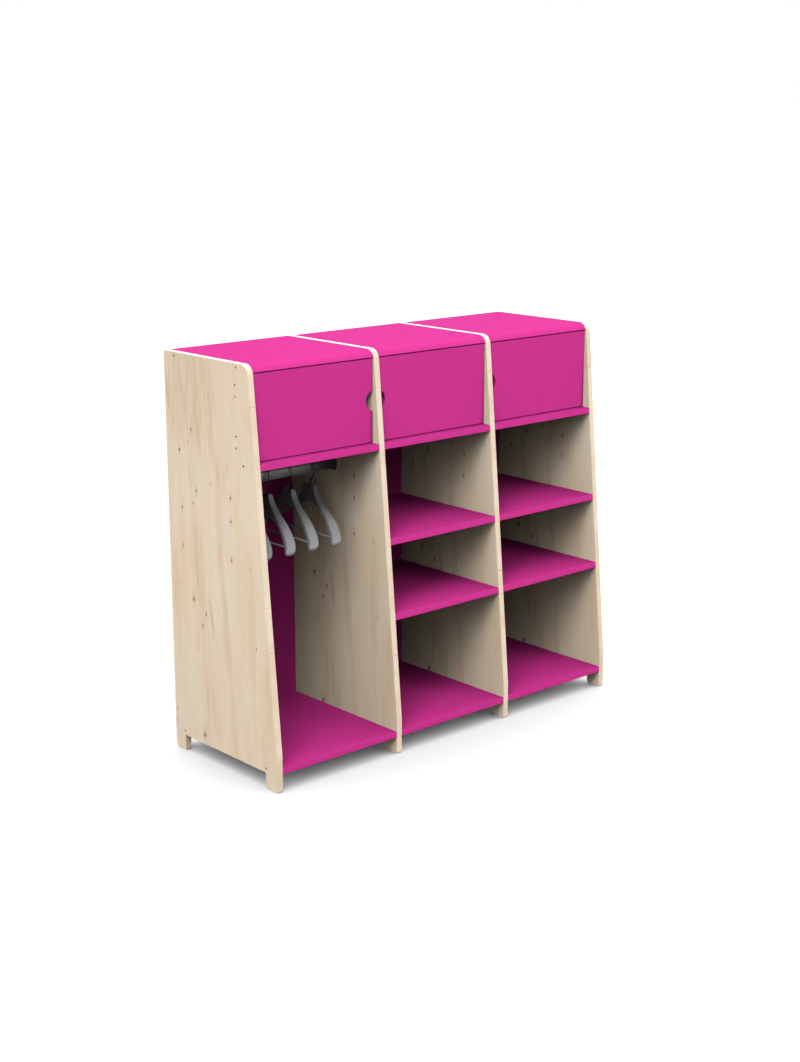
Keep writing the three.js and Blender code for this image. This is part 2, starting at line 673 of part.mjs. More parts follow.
// Doors: a slab with soft edges, pocketed for its cups
for (const bay of bays) {
  const outline = doorOutline(BAY_WIDTH - 2 * DOOR_SIDE_GAP, DOOR_HEIGHT);
  const slab = extrude(outline, DOOR_THICKNESS - 2 * DOOR_EDGE_RADIUS, {
    bevelEnabled: true,
    bevelThickness: DOOR_EDGE_RADIUS,
    bevelSize: DOOR_EDGE_RADIUS,
    bevelOffset: -DOOR_EDGE_RADIUS,
    bevelSegments: 2,
    curveSegments: NOTCH_SEGMENTS,
  });
  slab.applyMatrix4(towardsFront);
  slab.translate(DOOR_SIDE_GAP, DOOR_THICKNESS - DOOR_EDGE_RADIUS, 0);
  const door = placeAtDoor(slab, bay, (DOOR_TOP + DOOR_BOTTOM) / 2);
  const pockets = atEachHinge(() => [cupPocket(), ...cupScrewHoles()], bay);
  addPiece(`door_${bay.name}`, cut(door, pockets), lacquer);
}

// Hinge cup: a pressed cup with a flange and two wings, and the pivot pin riveted across it
function hingeCup() {
  const floor = DOOR_THICKNESS - CUP_DEPTH;
  const profile = [
    new THREE.Vector2(0, floor),
    new THREE.Vector2(CUP_RADIUS, floor),
    new THREE.Vector2(CUP_RADIUS, flangeBase),
    new THREE.Vector2(CUP_RADIUS + CUP_FLANGE_WIDTH, flangeBase),
    new THREE.Vector2(CUP_RADIUS + CUP_FLANGE_WIDTH, flangeTop),
    new THREE.Vector2(0, flangeTop),
  ];
  const body = new THREE.LatheGeometry(profile, CUP_SIDES).rotateY(Math.PI / CUP_SIDES);
  const wing = block(
    [cupScrewX - CUP_WING_WIDTH / 2, flangeBase, -CUP_WING_LENGTH / 2],
    [cupScrewX + CUP_WING_WIDTH / 2, flangeTop, CUP_WING_LENGTH / 2],
  );
  const hollow = rod('y', CUP_RADIUS - CUP_WALL, floor + CUP_WALL, flangeTop + OVERRUN, CUP_SIDES);
  const shell = cut(
    join([body.translate(cupX, 0, 0), wing]),
    [hollow.translate(cupX, 0, 0), ...cupScrewHoles()],
  );
  const pinOffset = CUP_EDGE_DISTANCE - PIVOT_EDGE_DISTANCE;
  const pinReach = Math.sqrt((CUP_RADIUS - CUP_WALL) ** 2 - pinOffset ** 2);
  const pin = rod('z', PIVOT_RADIUS, -pinReach, pinReach, BORE_SIDES);
  return join([shell, pin.translate(cupX - pinOffset, PIVOT_FACE_DISTANCE, 0)]);
}

// Hinge arm: from a barrel on the pin out of the cup, clear of the open door's edge and back over
// the plate, where the head of its clamping screw stands on it
function hingeArm() {
  const pivotX = DOOR_SIDE_GAP + PIVOT_EDGE_DISTANCE;
  const pivotY = PIVOT_FACE_DISTANCE;
  const restX = SEAT_GAP + PLATE_BODY_HEIGHT + SEAT_GAP + ARM_THICKNESS / 2;
  const route = [
    new THREE.Vector2(pivotX, pivotY),
    new THREE.Vector2(pivotX + ARM_NECK_REACH, pivotY + ARM_NECK_RISE),
    new THREE.Vector2(pivotX + ARM_CLEAR_REACH, pivotY + ARM_CLEAR_RISE),
    new THREE.Vector2(pivotX + ARM_CLEAR_REACH, pivotY + ARM_CRANK_START),
    new THREE.Vector2(restX, pivotY + ARM_CRANK_END),
    new THREE.Vector2(restX, pivotY + ARM_LENGTH),
  ];
  const half = ARM_HEIGHT / 2;
  const bore = PIVOT_RADIUS + HOLE_CLEARANCE;
  const strip = extrude(stripOutline(route, ARM_THICKNESS), ARM_HEIGHT).translate(0, 0, -half);
  const barrel = rod('z', bore + BARREL_WALL, -half, half, BARREL_SIDES).translate(pivotX, pivotY, 0);
  const hole = rod('z', bore, -half - OVERRUN, half + OVERRUN, BORE_SIDES).translate(pivotX, pivotY, 0);
  const clampTop = restX + ARM_THICKNESS / 2 + CLAMP_SCREW_HEIGHT;
  const clampY = pivotY + ARM_LENGTH - CLAMP_SCREW_SETBACK;
  const clamp = rod('x', CLAMP_SCREW_RADIUS, restX, clampTop, BORE_SIDES).translate(0, clampY, 0);
  return cut(join([strip, barrel, clamp]), [hole]);
}

// Hinge plate: a raised body under the arm and two wings for its bolts
function hingePlate() {
  const front = plateBoltY - PLATE_WING_WIDTH / 2;
  const body = block(
    [SEAT_GAP, front, -PLATE_BODY_WIDTH / 2],
    [SEAT_GAP + PLATE_BODY_HEIGHT, front + PLATE_BODY_LENGTH, PLATE_BODY_WIDTH / 2],
  );
  const wings = block(
    [SEAT_GAP, front, -PLATE_WING_LENGTH / 2],
    [SEAT_GAP + PLATE_BASE_THICKNESS, front + PLATE_WING_WIDTH, PLATE_WING_LENGTH / 2],
  );
  return cut(join([body, wings]), plateBoltHoles());
}

const cupForm = hingeCup();
const armForm = hingeArm();
const plateForm = hingePlate();
for (const bay of bays) {
  for (const { name, z } of hingeHeights) {
    addPiece(`hinge_cup_${bay.name}_${name}`, placeAtDoor(cupForm, bay, z), steel);
    addPiece(`hinge_arm_${bay.name}_${name}`, placeAtDoor(armForm, bay, z), steel);
    addPiece(`hinge_plate_${bay.name}_${name}`, placeAtDoor(plateForm, bay, z), steel);
  }
}

// The rail's upright oval section, grown outwards by an allowance
function railOutline(grow) {
  const halfWidth = RAIL_WIDTH / 2 + grow;
  const straight = (RAIL_HEIGHT - RAIL_WIDTH) / 2;
  const shape = new THREE.Shape();
  shape.absarc(0, straight, halfWidth, 0, Math.PI, false);
  shape.absarc(0, -straight, halfWidth, Math.PI, 2 * Math.PI, false);
  return shape;
}

// Hanging rail: an oval tube between two flanged sockets
const railClear = SOCKET_BASE + SEAT_GAP;
const railLength = BAY_WIDTH - 2 * railClear;
const railBore = extrudeAlongX(railOutline(-RAIL_WALL), railLength + 2 * OVERRUN);
const railTube = cut(extrudeAlongX(railOutline(0), railLength), [railBore.translate(-OVERRUN, 0, 0)]);
addPiece('hanging_rail', railTube, railMetal).position.set(
  hangingBay.left + railClear,
  RAIL_Y,
  RAIL_CENTRE_HEIGHT,
);

const collar = HOLE_CLEARANCE + SOCKET_WALL;
const socketBody = join([
  extrudeAlongX(railOutline(collar), SOCKET_LENGTH),
  extrudeAlongX(railOutline(collar + SOCKET_FLANGE_WIDTH), SOCKET_BASE),
]);
const socketBore = extrudeAlongX(railOutline(HOLE_CLEARANCE), SOCKET_LENGTH).translate(SOCKET_BASE, 0, 0);
const socketForm = cut(
  cut(socketBody, [socketBore]).translate(0, RAIL_Y, RAIL_CENTRE_HEIGHT),
  socketScrewHoles(),
);
addPiece('rail_socket_left', atLeft(socketForm, hangingBay), railMetal);
addPiece('rail_socket_right', atRight(socketForm, hangingBay), railMetal);

// A hanger's slices from its middle to one tip. Outer and inner edges are shares of the half span
// outwards and of the drop downwards. The others are the share of the way from the head's width
// to the tip's, from the head's thick roof to the arms' thin one, and of the sweep to the front
// of a coat, which is towards -X.
const hangerSliceShares = [
  { outer: [0.000, 0.025], inner: [0.000, 0.319], widen: 0.00, thin: 0.0, sweep: 0.000 },
  { outer: [0.105, 0.000], inner: [0.079, 0.319], widen: 0.02, thin: 0.2, sweep: 0.000 },
  { outer: [0.133, 0.034], inner: [0.110, 0.323], widen: 0.05, thin: 0.5, sweep: 0.000 },
  { outer: [0.160, 0.124], inner: [0.141, 0.340], widen: 0.12, thin: 0.8, sweep: 0.000 },
  { outer: [0.214, 0.235], inner: [0.181, 0.368], widen: 0.22, thin: 1.0, sweep: 0.000 },
  { outer: [0.312, 0.368], inner: [0.268, 0.437], widen: 0.38, thin: 1.0, sweep: 0.010 },
  { outer: [0.467, 0.493], inner: [0.434, 0.565], widen: 0.58, thin: 1.0, sweep: 0.104 },
  { outer: [0.644, 0.603], inner: [0.605, 0.687], widen: 0.78, thin: 1.0, sweep: 0.320 },
  { outer: [0.798, 0.715], inner: [0.755, 0.797], widen: 0.92, thin: 1.0, sweep: 0.540 },
  { outer: [0.910, 0.808], inner: [0.866, 0.885], widen: 1.00, thin: 1.0, sweep: 0.740 },
  { outer: [0.985, 0.874], inner: [0.934, 0.933], widen: 0.97, thin: 1.0, sweep: 0.920 },
  { outer: [1.000, 0.933], inner: [0.949, 0.955], widen: 0.82, thin: 1.0, sweep: 0.990 },
  { outer: [0.985, 0.976], inner: [0.951, 0.972], widen: 0.58, thin: 1.0, sweep: 1.000 },
  { outer: [0.957, 1.000], inner: [0.944, 0.990], widen: 0.30, thin: 1.0, sweep: 1.000 },
];
const channelDepthShare = 0.85;
const channelEndShare = 0.9;

// One slice is a channel with a rounded back, open on its inner side, and solid past its end
function hangerSlice({ outer, inner, widen, thin, sweep }, side) {
  const top = new THREE.Vector3(0, side * outer[0] * HANGER_HALF_SPAN, -outer[1] * HANGER_DROP);
  const under = new THREE.Vector3(0, side * inner[0] * HANGER_HALF_SPAN, -inner[1] * HANGER_DROP);
  const depth = top.distanceTo(under);
  const down = under.clone().sub(top).normalize();
  const half = THREE.MathUtils.lerp(HANGER_HEAD_WIDTH, HANGER_TIP_WIDTH, widen) / 2;
  const innerHalf = half - HANGER_WALL;
  const round = Math.min(HANGER_SHOULDER_ROUND, depth / 2);
  const roof = THREE.MathUtils.lerp(HANGER_HEAD_ROOF, HANGER_WALL, thin);
  const hollowTo = outer[1] > channelEndShare ? depth * channelDepthShare : roof;
  const outline = [
    [-half, depth], [-half, round], [round - half, 0], [half - round, 0], [half, round],
    [half, depth], [innerHalf, depth], [innerHalf, hollowTo], [-innerHalf, hollowTo], [-innerHalf, depth],
  ].map(([across, fall]) => new THREE.Vector2(across, fall));
  const place = ({ x, y: fall }) => top.clone().addScaledVector(down, fall).setX(x - sweep * HANGER_SWEEP);
  return { outline, place };
}

// The hook hangs over the rail's crown, and the hanger's head a neck's length below it
const hookCrown = RAIL_CENTRE_HEIGHT + RAIL_HEIGHT / 2 + SEAT_GAP + WIRE_RADIUS;
const headTop = hookCrown - HANGER_NECK_LENGTH;
const headMiddle = headTop - hangerSliceShares[0].outer[1] * HANGER_DROP;

function hangerBody() {
  const right = hangerSliceShares.map((shares) => hangerSlice(shares, 1));
  const left = hangerSliceShares.slice(1).reverse().map((shares) => hangerSlice(shares, -1));
  const bar = rod('y', TROUSER_BAR_RADIUS, -TROUSER_BAR_REACH, TROUSER_BAR_REACH, BORE_SIDES);
  bar.translate(-TROUSER_BAR_SWEEP, 0, TROUSER_BAR_HEIGHT - HANGER_DROP);
  const neckHole = rod('z', WIRE_RADIUS + HOOK_CLEARANCE, -2 * HANGER_HEAD_ROOF, OVERRUN, BORE_SIDES);
  return cut(join([loft([...left, ...right]), bar]), [neckHole]);
}

// The hook's route in front of the rail and behind it, as shares of the hook's radius forwards
// and of the way from the stem's end up to the centre of its bow, and in between the angles
// round the bow in degrees
const hookFrontShares = [[0, -0.12], [0.06, 0.04], [0.34, 0.15], [0.72, 0.26], [0.94, 0.46], [1, 0.72]];
const hookBackShares = [[-1, 0.82], [-1.04, 0.62]];
const bowAngles = [0, 30, 60, 90, 120, 150, 180];

// Hook: a wire from a button under the head's roof, up through it and over the rail
function hangerHook() {
  const buttonTop = headMiddle - HANGER_HEAD_ROOF - SEAT_GAP;
  const buttonBottom = buttonTop - HOOK_BUTTON_HEIGHT;
  const stemEnd = headTop + HOOK_STEM_HEIGHT;
  const bowCentre = hookCrown - HOOK_RADIUS;
  const fromShares = ([forward, rise]) => new THREE.Vector2(
    -forward * HOOK_RADIUS,
    THREE.MathUtils.lerp(stemEnd, bowCentre, rise),
  );
  const onBow = (degrees) => {
    const angle = THREE.MathUtils.degToRad(degrees);
    return new THREE.Vector2(-HOOK_RADIUS * Math.cos(angle), bowCentre + HOOK_RADIUS * Math.sin(angle));
  };
  const curve = new THREE.SplineCurve([
    ...hookFrontShares.map(fromShares),
    ...bowAngles.map(onBow),
    ...hookBackShares.map(fromShares),
  ]);
  const start = new THREE.Vector2(0, (buttonTop + buttonBottom) / 2);
  const wire = sweepWire(
    [start, ...curve.getSpacedPoints(HOOK_STEPS)],
    WIRE_RADIUS,
    (y, z, x) => new THREE.Vector3(x, y, z),
  );
  return join([wire, rod('z', HOOK_BUTTON_RADIUS, buttonBottom, buttonTop, BORE_SIDES)]);
}

const bodyForm = hangerBody();
const hookForm = hangerHook();
const hangerPitch = (BAY_WIDTH - 2 * HANGER_END_ROOM) / (HANGER_COUNT - 1);
for (let index = 0; index < HANGER_COUNT; index += 1) {
  const x = hangingBay.left + HANGER_END_ROOM + index * hangerPitch;
  addPiece(`hanger_${index + 1}`, bodyForm.clone(), greyPlastic).position.set(x, RAIL_Y, headTop);
  addPiece(`hanger_hook_${index + 1}`, hookForm.clone(), darkWire).position.set(x, RAIL_Y, 0);
}

export default wardrobe;
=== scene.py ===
"""Looks of a children's wardrobe, built around its CAD frame. Lengths are in metres, +Z up, front -Y."""
import math

import bmesh
import bpy
from mathutils import Matrix, Vector


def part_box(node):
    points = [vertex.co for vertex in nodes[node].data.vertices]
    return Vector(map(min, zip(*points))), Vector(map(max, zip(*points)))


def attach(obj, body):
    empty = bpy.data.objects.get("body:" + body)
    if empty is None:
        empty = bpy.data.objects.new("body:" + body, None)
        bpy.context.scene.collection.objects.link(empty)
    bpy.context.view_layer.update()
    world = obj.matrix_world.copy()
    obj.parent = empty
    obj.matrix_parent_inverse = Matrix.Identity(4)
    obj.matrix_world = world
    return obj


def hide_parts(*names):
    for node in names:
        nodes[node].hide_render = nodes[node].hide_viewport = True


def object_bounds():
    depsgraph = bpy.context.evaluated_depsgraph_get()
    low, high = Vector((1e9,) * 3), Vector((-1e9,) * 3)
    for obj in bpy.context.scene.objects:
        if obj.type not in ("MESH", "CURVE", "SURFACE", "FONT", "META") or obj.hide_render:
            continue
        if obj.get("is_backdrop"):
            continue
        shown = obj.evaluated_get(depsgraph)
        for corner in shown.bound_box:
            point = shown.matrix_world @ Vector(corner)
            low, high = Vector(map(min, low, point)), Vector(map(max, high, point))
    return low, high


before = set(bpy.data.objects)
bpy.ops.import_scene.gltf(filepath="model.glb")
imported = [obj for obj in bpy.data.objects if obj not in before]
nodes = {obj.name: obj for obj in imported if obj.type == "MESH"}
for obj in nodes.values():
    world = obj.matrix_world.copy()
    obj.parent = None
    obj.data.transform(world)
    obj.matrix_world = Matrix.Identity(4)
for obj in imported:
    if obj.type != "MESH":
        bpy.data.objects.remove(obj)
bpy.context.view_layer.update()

scene = bpy.context.scene
scene.view_settings.view_transform = "Standard"
scene.cycles.diffuse_bounces = 0

# Camera, solved from the photograph's straight edges
CAMERA_AZIMUTH = math.radians(-41.832)
CAMERA_ELEVATION = math.radians(14.308)
CAMERA_DISTANCE = 5.1835
CAMERA_TARGET = Vector((0.0056, 0.0070, 0.5917))
CAMERA_LENS = 76.07
CAMERA_REACH = 60.0

# Sizes that the pieces added here share with the solids
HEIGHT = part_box("side_panel_left")[1].z
PANEL_LEFT_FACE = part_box("side_panel_left")[0].x
PANEL_RIGHT_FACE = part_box("side_panel_right")[1].x
PANEL_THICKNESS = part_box("side_panel_left")[1].x - PANEL_LEFT_FACE
BACK_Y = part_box("side_panel_left")[1].y
FRONT_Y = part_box("side_panel_left")[0].y
TOP_DEPTH = 0.390
TOP_FRONT_Y = BACK_Y - TOP_DEPTH
UPRIGHT_HEIGHT = 0.110
DOOR_BACK_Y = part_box("door_left")[1].y
FASTENER_FRONT_INSET = 0.050

# Each bay's door: the panels at its hinges and at its free edge. Turn is +1 where it hangs on its left side
BAYS = {
    "left": {"hung": "side_panel_left", "free": "divider_left", "turn": 1},
    "middle": {"hung": "divider_right", "free": "divider_left", "turn": -1},
    "right": {"hung": "side_panel_right", "free": "divider_right", "turn": -1},
}


def front_edge_at(z):
    """Y of the panels' front edge at a height."""
    climb = max(0.0, z - UPRIGHT_HEIGHT) / (HEIGHT - UPRIGHT_HEIGHT)
    return FRONT_Y + (TOP_FRONT_Y - FRONT_Y) * climb


def bearing(azimuth, elevation):
    """The unit vector towards a place round the object. Azimuth 0 is the front and +90 degrees is +X."""
    across = math.cos(elevation)
    return Vector((math.sin(azimuth) * across, -math.cos(azimuth) * across, math.sin(elevation)))


# Camera
def add_camera():
    away = bearing(CAMERA_AZIMUTH, CAMERA_ELEVATION)
    data = bpy.data.cameras.new("camera")
    data.sensor_fit = "HORIZONTAL"
    data.lens = CAMERA_LENS
    data.clip_end = CAMERA_REACH
    camera = bpy.data.objects.new("camera", data)
    camera.location = CAMERA_TARGET + CAMERA_DISTANCE * away
    camera.rotation_euler = away.to_track_quat("Z", "Y").to_euler()
    scene.collection.objects.link(camera)
    scene.camera = camera


# Materials
class Shader:
    """A material whose nodes are made and joined by short calls. A value is a socket or a constant."""

    def __init__(self, name, **surface):
        self.material = bpy.data.materials.new(name)
        self.material.use_nodes = True
        self.tree = self.material.node_tree
        self.surface = self.tree.nodes["Principled BSDF"]
        for socket, value in surface.items():
            self.feed(self.surface.inputs[socket.replace("_", " ")], value)

    def feed(self, socket, value):
        if isinstance(value, bpy.types.NodeSocket):
            self.tree.links.new(value, socket)
        else:
            socket.default_value = value

    def add(self, kind, inputs=(), **settings):
        node = self.tree.nodes.new("ShaderNode" + kind)
        for name, value in settings.items():
            setattr(node, name, value)
        for key, value in dict(inputs).items():
            self.feed(node.inputs[key], value)
        return node

    def math(self, operation, *values, clamp=False):
        node = self.add("Math", dict(enumerate(values)), operation=operation, use_clamp=clamp)
        return node.outputs[0]

    def vector(self, x, y, z):
        return self.add("CombineXYZ", {0: x, 1: y, 2: z}).outputs[0]

    def vector_math(self, operation, first, second=(0, 0, 0), result="Vector"):
        """Vector mathematics. A dot product, a length and a distance come out as the result named Value."""
        return self.add("VectorMath", {0: first, 1: second}, operation=operation).outputs[result]

    def dot(self, first, second):
        return self.vector_math("DOT_PRODUCT", first, second, "Value")

    def part(self, vector, axis):
        return self.add("SeparateXYZ", {0: vector}).outputs[axis]

    def facing(self, axis):
        """How far the surface looks along an axis."""
        return self.part(self.add("NewGeometry").outputs["Normal"], axis)

    def noise(self, place, scale, detail=2.0, roughness=0.5):
        inputs = {"Vector": place, "Scale": scale, "Detail": detail, "Roughness": roughness}
        return self.add("TexNoise", inputs).outputs["Fac"]

    def ramp(self, value, low, high, to_low=0.0, to_high=1.0):
        inputs = {"Value": value, "From Min": low, "From Max": high, "To Min": to_low, "To Max": to_high}
        return self.add("MapRange", inputs, interpolation_type="SMOOTHSTEP").outputs["Result"]

    def mix(self, share, first, second):
        node = self.add("Mix", data_type="RGBA")
        self.feed(node.inputs["Factor"], share)
        self.feed(node.inputs[6], first)
        self.feed(node.inputs[7], second)
        return node.outputs[2]

    def object_place(self):
        """Object coordinates, whole and as x, y and z."""
        place = self.add("TexCoord").outputs["Object"]
        parts = self.add("SeparateXYZ", {0: place}).outputs
        return place, parts["X"], parts["Y"], parts["Z"]

    def bump(self, height, strength, distance):
        normal = self.add("Bump", {"Height": height, "Strength": strength, "Distance": distance})
        self.feed(self.surface.inputs["Normal"], normal.outputs["Normal"])


def colour(text):
    """A hex colour, as seen on screen, as linear red, green, blue and alpha."""
    parts = [int(text[i:i + 2], 16) / 255 for i in (0, 2, 4)]
    return tuple(c / 12.92 if c <= 0.04045 else ((c + 0.055) / 1.055) ** 2.4 for c in parts) + (1.0,)


def dimmed(base, share):
    return tuple(part * share for part in base[:3]) + (1.0,)


# Spruce, whose grain runs upwards. All four panels show the same knots and streaks
SPRUCE_PALE = colour("F4E4CC")
SPRUCE_MIDDLE = colour("F1DABD")
SPRUCE_TAN = colour("E2BF9A")
# Greyish grain, which also colours the painted shade on the panels' tops
SPRUCE_GREY_AND_TOP_SHADE = colour("D8C2A6")
SPRUCE_LILAC = colour("F0DFD2")
SPRUCE_FIBRE = colour("CFB191")
SPRUCE_EDGE_PALE = colour("EFDDC8")
# Near white for edges that face up: a painted highlight for the light from above
SPRUCE_EDGE_PAINTED_HIGHLIGHT = colour("FFF6E8")
SPRUCE_EDGE_TAN = colour("E2C6A6")
KNOT_HEART = colour("4A2C18")
KNOT_HALO = colour("BC8F68")
EDGE_MARK = colour("A8794F")

# How far a knot's heart and its trail are drawn out upwards, and their reach in radii
KNOT_STRETCH = 1.3
KNOT_TRAIL = 2.7
KNOT_HALO_REACH = 2.3
KNOT_BEND_REACH = 6.0
KNOT_BEND = -0.55
KNOT_HEART_INNER = 0.25
KNOT_HEART_OUTER = 1.1
BIG_KNOT_RADIUS = 0.0038
MARK_HALF_HEIGHT = 0.0008
EDGE_BLOCKS_ACROSS = 4.5
EDGE_BLOCKS_UP = 21.0
EDGE_LINES_ACROSS = 380.0
EDGE_LINES_UP = 7.0

# Noises drawn out along the grain [share of the height, scale, detail, roughness]
GRAINS = {
    "broad": (0.16, 17.0, 3.0, 0.60),
    "fine": (0.06, 150.0, 2.0, 0.55),
    "ragged": (0.10, 90.0, 2.0, 0.60),
}
GRAIN_SWAY = 0.016
SWAYS_ACROSS = 3.0
SWAYS_UP = 4.0
FIBRE_RISE = 0.012
FIBRE_SCALE = 1500.0

# Knots lie lower than the fibres. A relief is the strength of a bump and its height
KNOT_RISE = -2.0
SPRUCE_RELIEF = (0.10, 0.0003)

# How strongly each layer covers what lies under it
TAN_SHARE = 0.75
FINE_SHARE = 0.09
STREAK_SHARE = 0.8
FIBRE_SHARE = 0.10
HALO_SHARE = 0.38
EDGE_LINE_SHARE = 0.35
EDGE_BLOCK_SHARE = 0.55
EDGE_MARK_SHARE = 0.7
STREAK_FADE = 1.6

# Knots [y, z, radius, darkness] on both faces of each panel
KNOTS = [
    (0.1216, 0.9792, 0.0040, 0.75), (0.1387, 0.9413, 0.0032, 0.50), (0.1821, 0.9139, 0.0035, 0.90),
    (0.0351, 0.8354, 0.0022, 0.70), (0.1045, 0.8053, 0.0045, 0.75), (-0.0580, 0.8130, 0.0042, 0.80),
    (0.1218, 0.7679, 0.0035, 0.50), (0.1760, 0.7470, 0.0035, 0.90), (-0.0570, 0.7462, 0.0036, 0.90),
    (0.1767, 0.6360, 0.0032, 0.90), (0.1823, 0.6250, 0.0020, 0.60), (-0.0560, 0.6355, 0.0038, 0.90),
    (-0.1414, 0.6251, 0.0024, 0.60), (0.1325, 0.4820, 0.0065, 0.70), (0.0738, 0.4496, 0.0045, 0.75),
    (0.0920, 0.4120, 0.0042, 0.70), (0.1844, 0.4035, 0.0020, 0.60), (-0.1612, 0.4035, 0.0024, 0.90),
    (0.2369, 0.1179, 0.0030, 0.60), (0.2371, 0.0853, 0.0030, 0.60), (0.0970, 0.0770, 0.0070, 0.75),
    (-0.2377, 0.4116, 0.0026, 0.50),
]

# Streaks [y, z, half width, half length, lean, strength], where lean is how far y moves per z.
# The two widest entries of the second table are not grain but painted shade that darkens the panels' tops
TAN_STREAKS = [
    (0.0885, 0.978, 0.007, 0.070, 0.120, 1.00), (0.0465, 0.444, 0.008, 0.065, 0.170, 0.90),
    (0.2300, 1.070, 0.006, 0.080, 0.160, 0.90), (0.1585, 1.090, 0.010, 0.110, 0.174, 0.50),
    (0.1170, 0.355, 0.010, 0.035, 0.000, 0.55), (-0.1430, 0.445, 0.020, 0.240, -0.014, 0.35),
    (-0.2120, 0.285, 0.016, 0.140, 0.024, 0.35), (0.2200, 0.530, 0.012, 0.140, 0.000, 0.40),
    (0.0325, 1.060, 0.016, 0.130, 0.030, 0.45), (0.0130, 0.930, 0.016, 0.110, 0.200, 0.40),
    (0.0000, 0.760, 0.016, 0.160, 0.000, 0.38), (-0.0100, 0.560, 0.016, 0.120, 0.100, 0.40),
    (-0.0270, 0.370, 0.017, 0.150, 0.060, 0.60), (-0.0520, 0.140, 0.015, 0.120, 0.080, 0.45),
    (0.0200, 0.100, 0.009, 0.050, 0.000, 0.40), (0.0780, 0.100, 0.009, 0.050, 0.000, 0.40),
    (-0.1850, 0.100, 0.010, 0.050, 0.000, 0.35), (-0.0470, 0.895, 0.005, 0.012, 0.000, 0.70),
    (0.1000, 0.590, 0.026, 0.150, 0.060, 0.45),
]
# Greyish grain streaks. The two widest entries are painted shade that darkens the panels' tops
GREY_STREAKS_AND_TOP_SHADE = [
    (0.1360, 0.845, 0.008, 0.045, 0.110, 0.45), (0.1100, 0.590, 0.007, 0.130, 0.050, 0.45),
    (0.1400, 1.140, 0.130, 0.200, 0.000, 0.50), (0.0775, 0.190, 0.009, 0.070, 0.040, 0.45),
    (0.0000, 1.080, 0.260, 0.260, 0.000, 0.28), (0.0500, 0.170, 0.009, 0.070, 0.033, 0.45),
    (0.2090, 1.020, 0.008, 0.120, 0.060, 0.25), (0.1958, 0.521, 0.007, 0.011, 0.000, 0.55),
    (0.1569, 0.113, 0.008, 0.015, 0.000, 0.45),
]
LILAC_STREAKS = [
    (-0.0450, 0.720, 0.018, 0.110, 0.000, 0.65), (-0.1500, 0.810, 0.014, 0.120, 0.000, 0.55),
    (0.1550, 0.125, 0.018, 0.035, 0.000, 0.50), (0.1950, 0.770, 0.020, 0.030, 0.000, 0.40),
]

# Thin brown lines across the front edges, as heights on each panel
EDGE_MARKS = {
    "side_panel_left": [1.078, 0.530, 0.403],
    "divider_left": [1.082, 0.555, 0.300, 0.245],
    "divider_right": [1.082, 0.845, 0.472, 0.210],
    "side_panel_right": [1.053, 0.935, 0.290, 0.125],
}


def streaks(shader, place, table):
    """How strongly the soft leaning ellipses of a table cover a place (y, z, 1)."""
    cover = 0.0
    for y, z, half_width, half_length, lean, strength in table:
        across = shader.dot(place, (1 / half_width, -lean / half_width, (lean * z - y) / half_width))
        along = shader.dot(place, (0, 1 / half_length, -z / half_length))
        square = shader.math("MULTIPLY_ADD", along, along, shader.math("MULTIPLY", across, across))
        cover = shader.math("ADD", shader.ramp(square, 0.0, STREAK_FADE, strength, 0.0), cover)
    return cover


def knots(shader, flat):
    """Hearts and halos of the knots at a place (y, z, 0), and how far they bend the grain sideways."""
    y = shader.part(flat, "X")
    rounded = shader.vector_math("MULTIPLY", flat, (1, 1 / KNOT_STRETCH, 0))
    trailing = shader.vector_math("MULTIPLY", flat, (1, 1 / KNOT_TRAIL, 0))
    heart, halo, bend = 0.0, 0.0, 0.0
    for knot_y, knot_z, radius, darkness in KNOTS:
        near = shader.vector_math("DISTANCE", rounded, (knot_y, knot_z / KNOT_STRETCH, 0), "Value")
        inner, outer = radius * KNOT_HEART_INNER, radius * KNOT_HEART_OUTER
        heart = shader.math("MAXIMUM", heart, shader.ramp(near, inner, outer, darkness, 0.0))
        trail = shader.vector_math("DISTANCE", trailing, (knot_y, knot_z / KNOT_TRAIL, 0), "Value")
        reach = radius * KNOT_HALO_REACH
        halo = shader.math("MAXIMUM", halo, shader.ramp(trail, 0.0, reach, darkness, 0.0))
        if radius > BIG_KNOT_RADIUS:
            across = shader.math("SUBTRACT", y, knot_y)
            pull = shader.ramp(near, 0.0, radius * KNOT_BEND_REACH, KNOT_BEND, 0.0)
            bend = shader.math("MULTIPLY_ADD", across, pull, bend)
    return heart, halo, bend


def edge_marks(shader, x, z):
    """Thin lines across the front edges of the panels."""
    flat = shader.vector(x, z, 0.0)
    cover = 0.0
    size = (1 / (2 * PANEL_THICKNESS), 1 / MARK_HALF_HEIGHT, 0)
    for panel, heights in EDGE_MARKS.items():
        low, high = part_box(panel)
        for height in heights:
            away = shader.vector_math("SUBTRACT", flat, ((low.x + high.x) / 2, height, 0))
            scaled = shader.vector_math("MULTIPLY", away, size)
            far = shader.vector_math("LENGTH", scaled, result="Value")
            cover = shader.math("MAXIMUM", cover, shader.ramp(far, 0.3, 1.0, 1.0, 0.0))
    return cover


def grain(shader, bent, z, kind):
    """One of the noises drawn out along the grain."""
    rise, scale, detail, roughness = GRAINS[kind]
    return shader.noise(shader.vector(0.0, bent, shader.math("MULTIPLY", z, rise)), scale, detail, roughness)


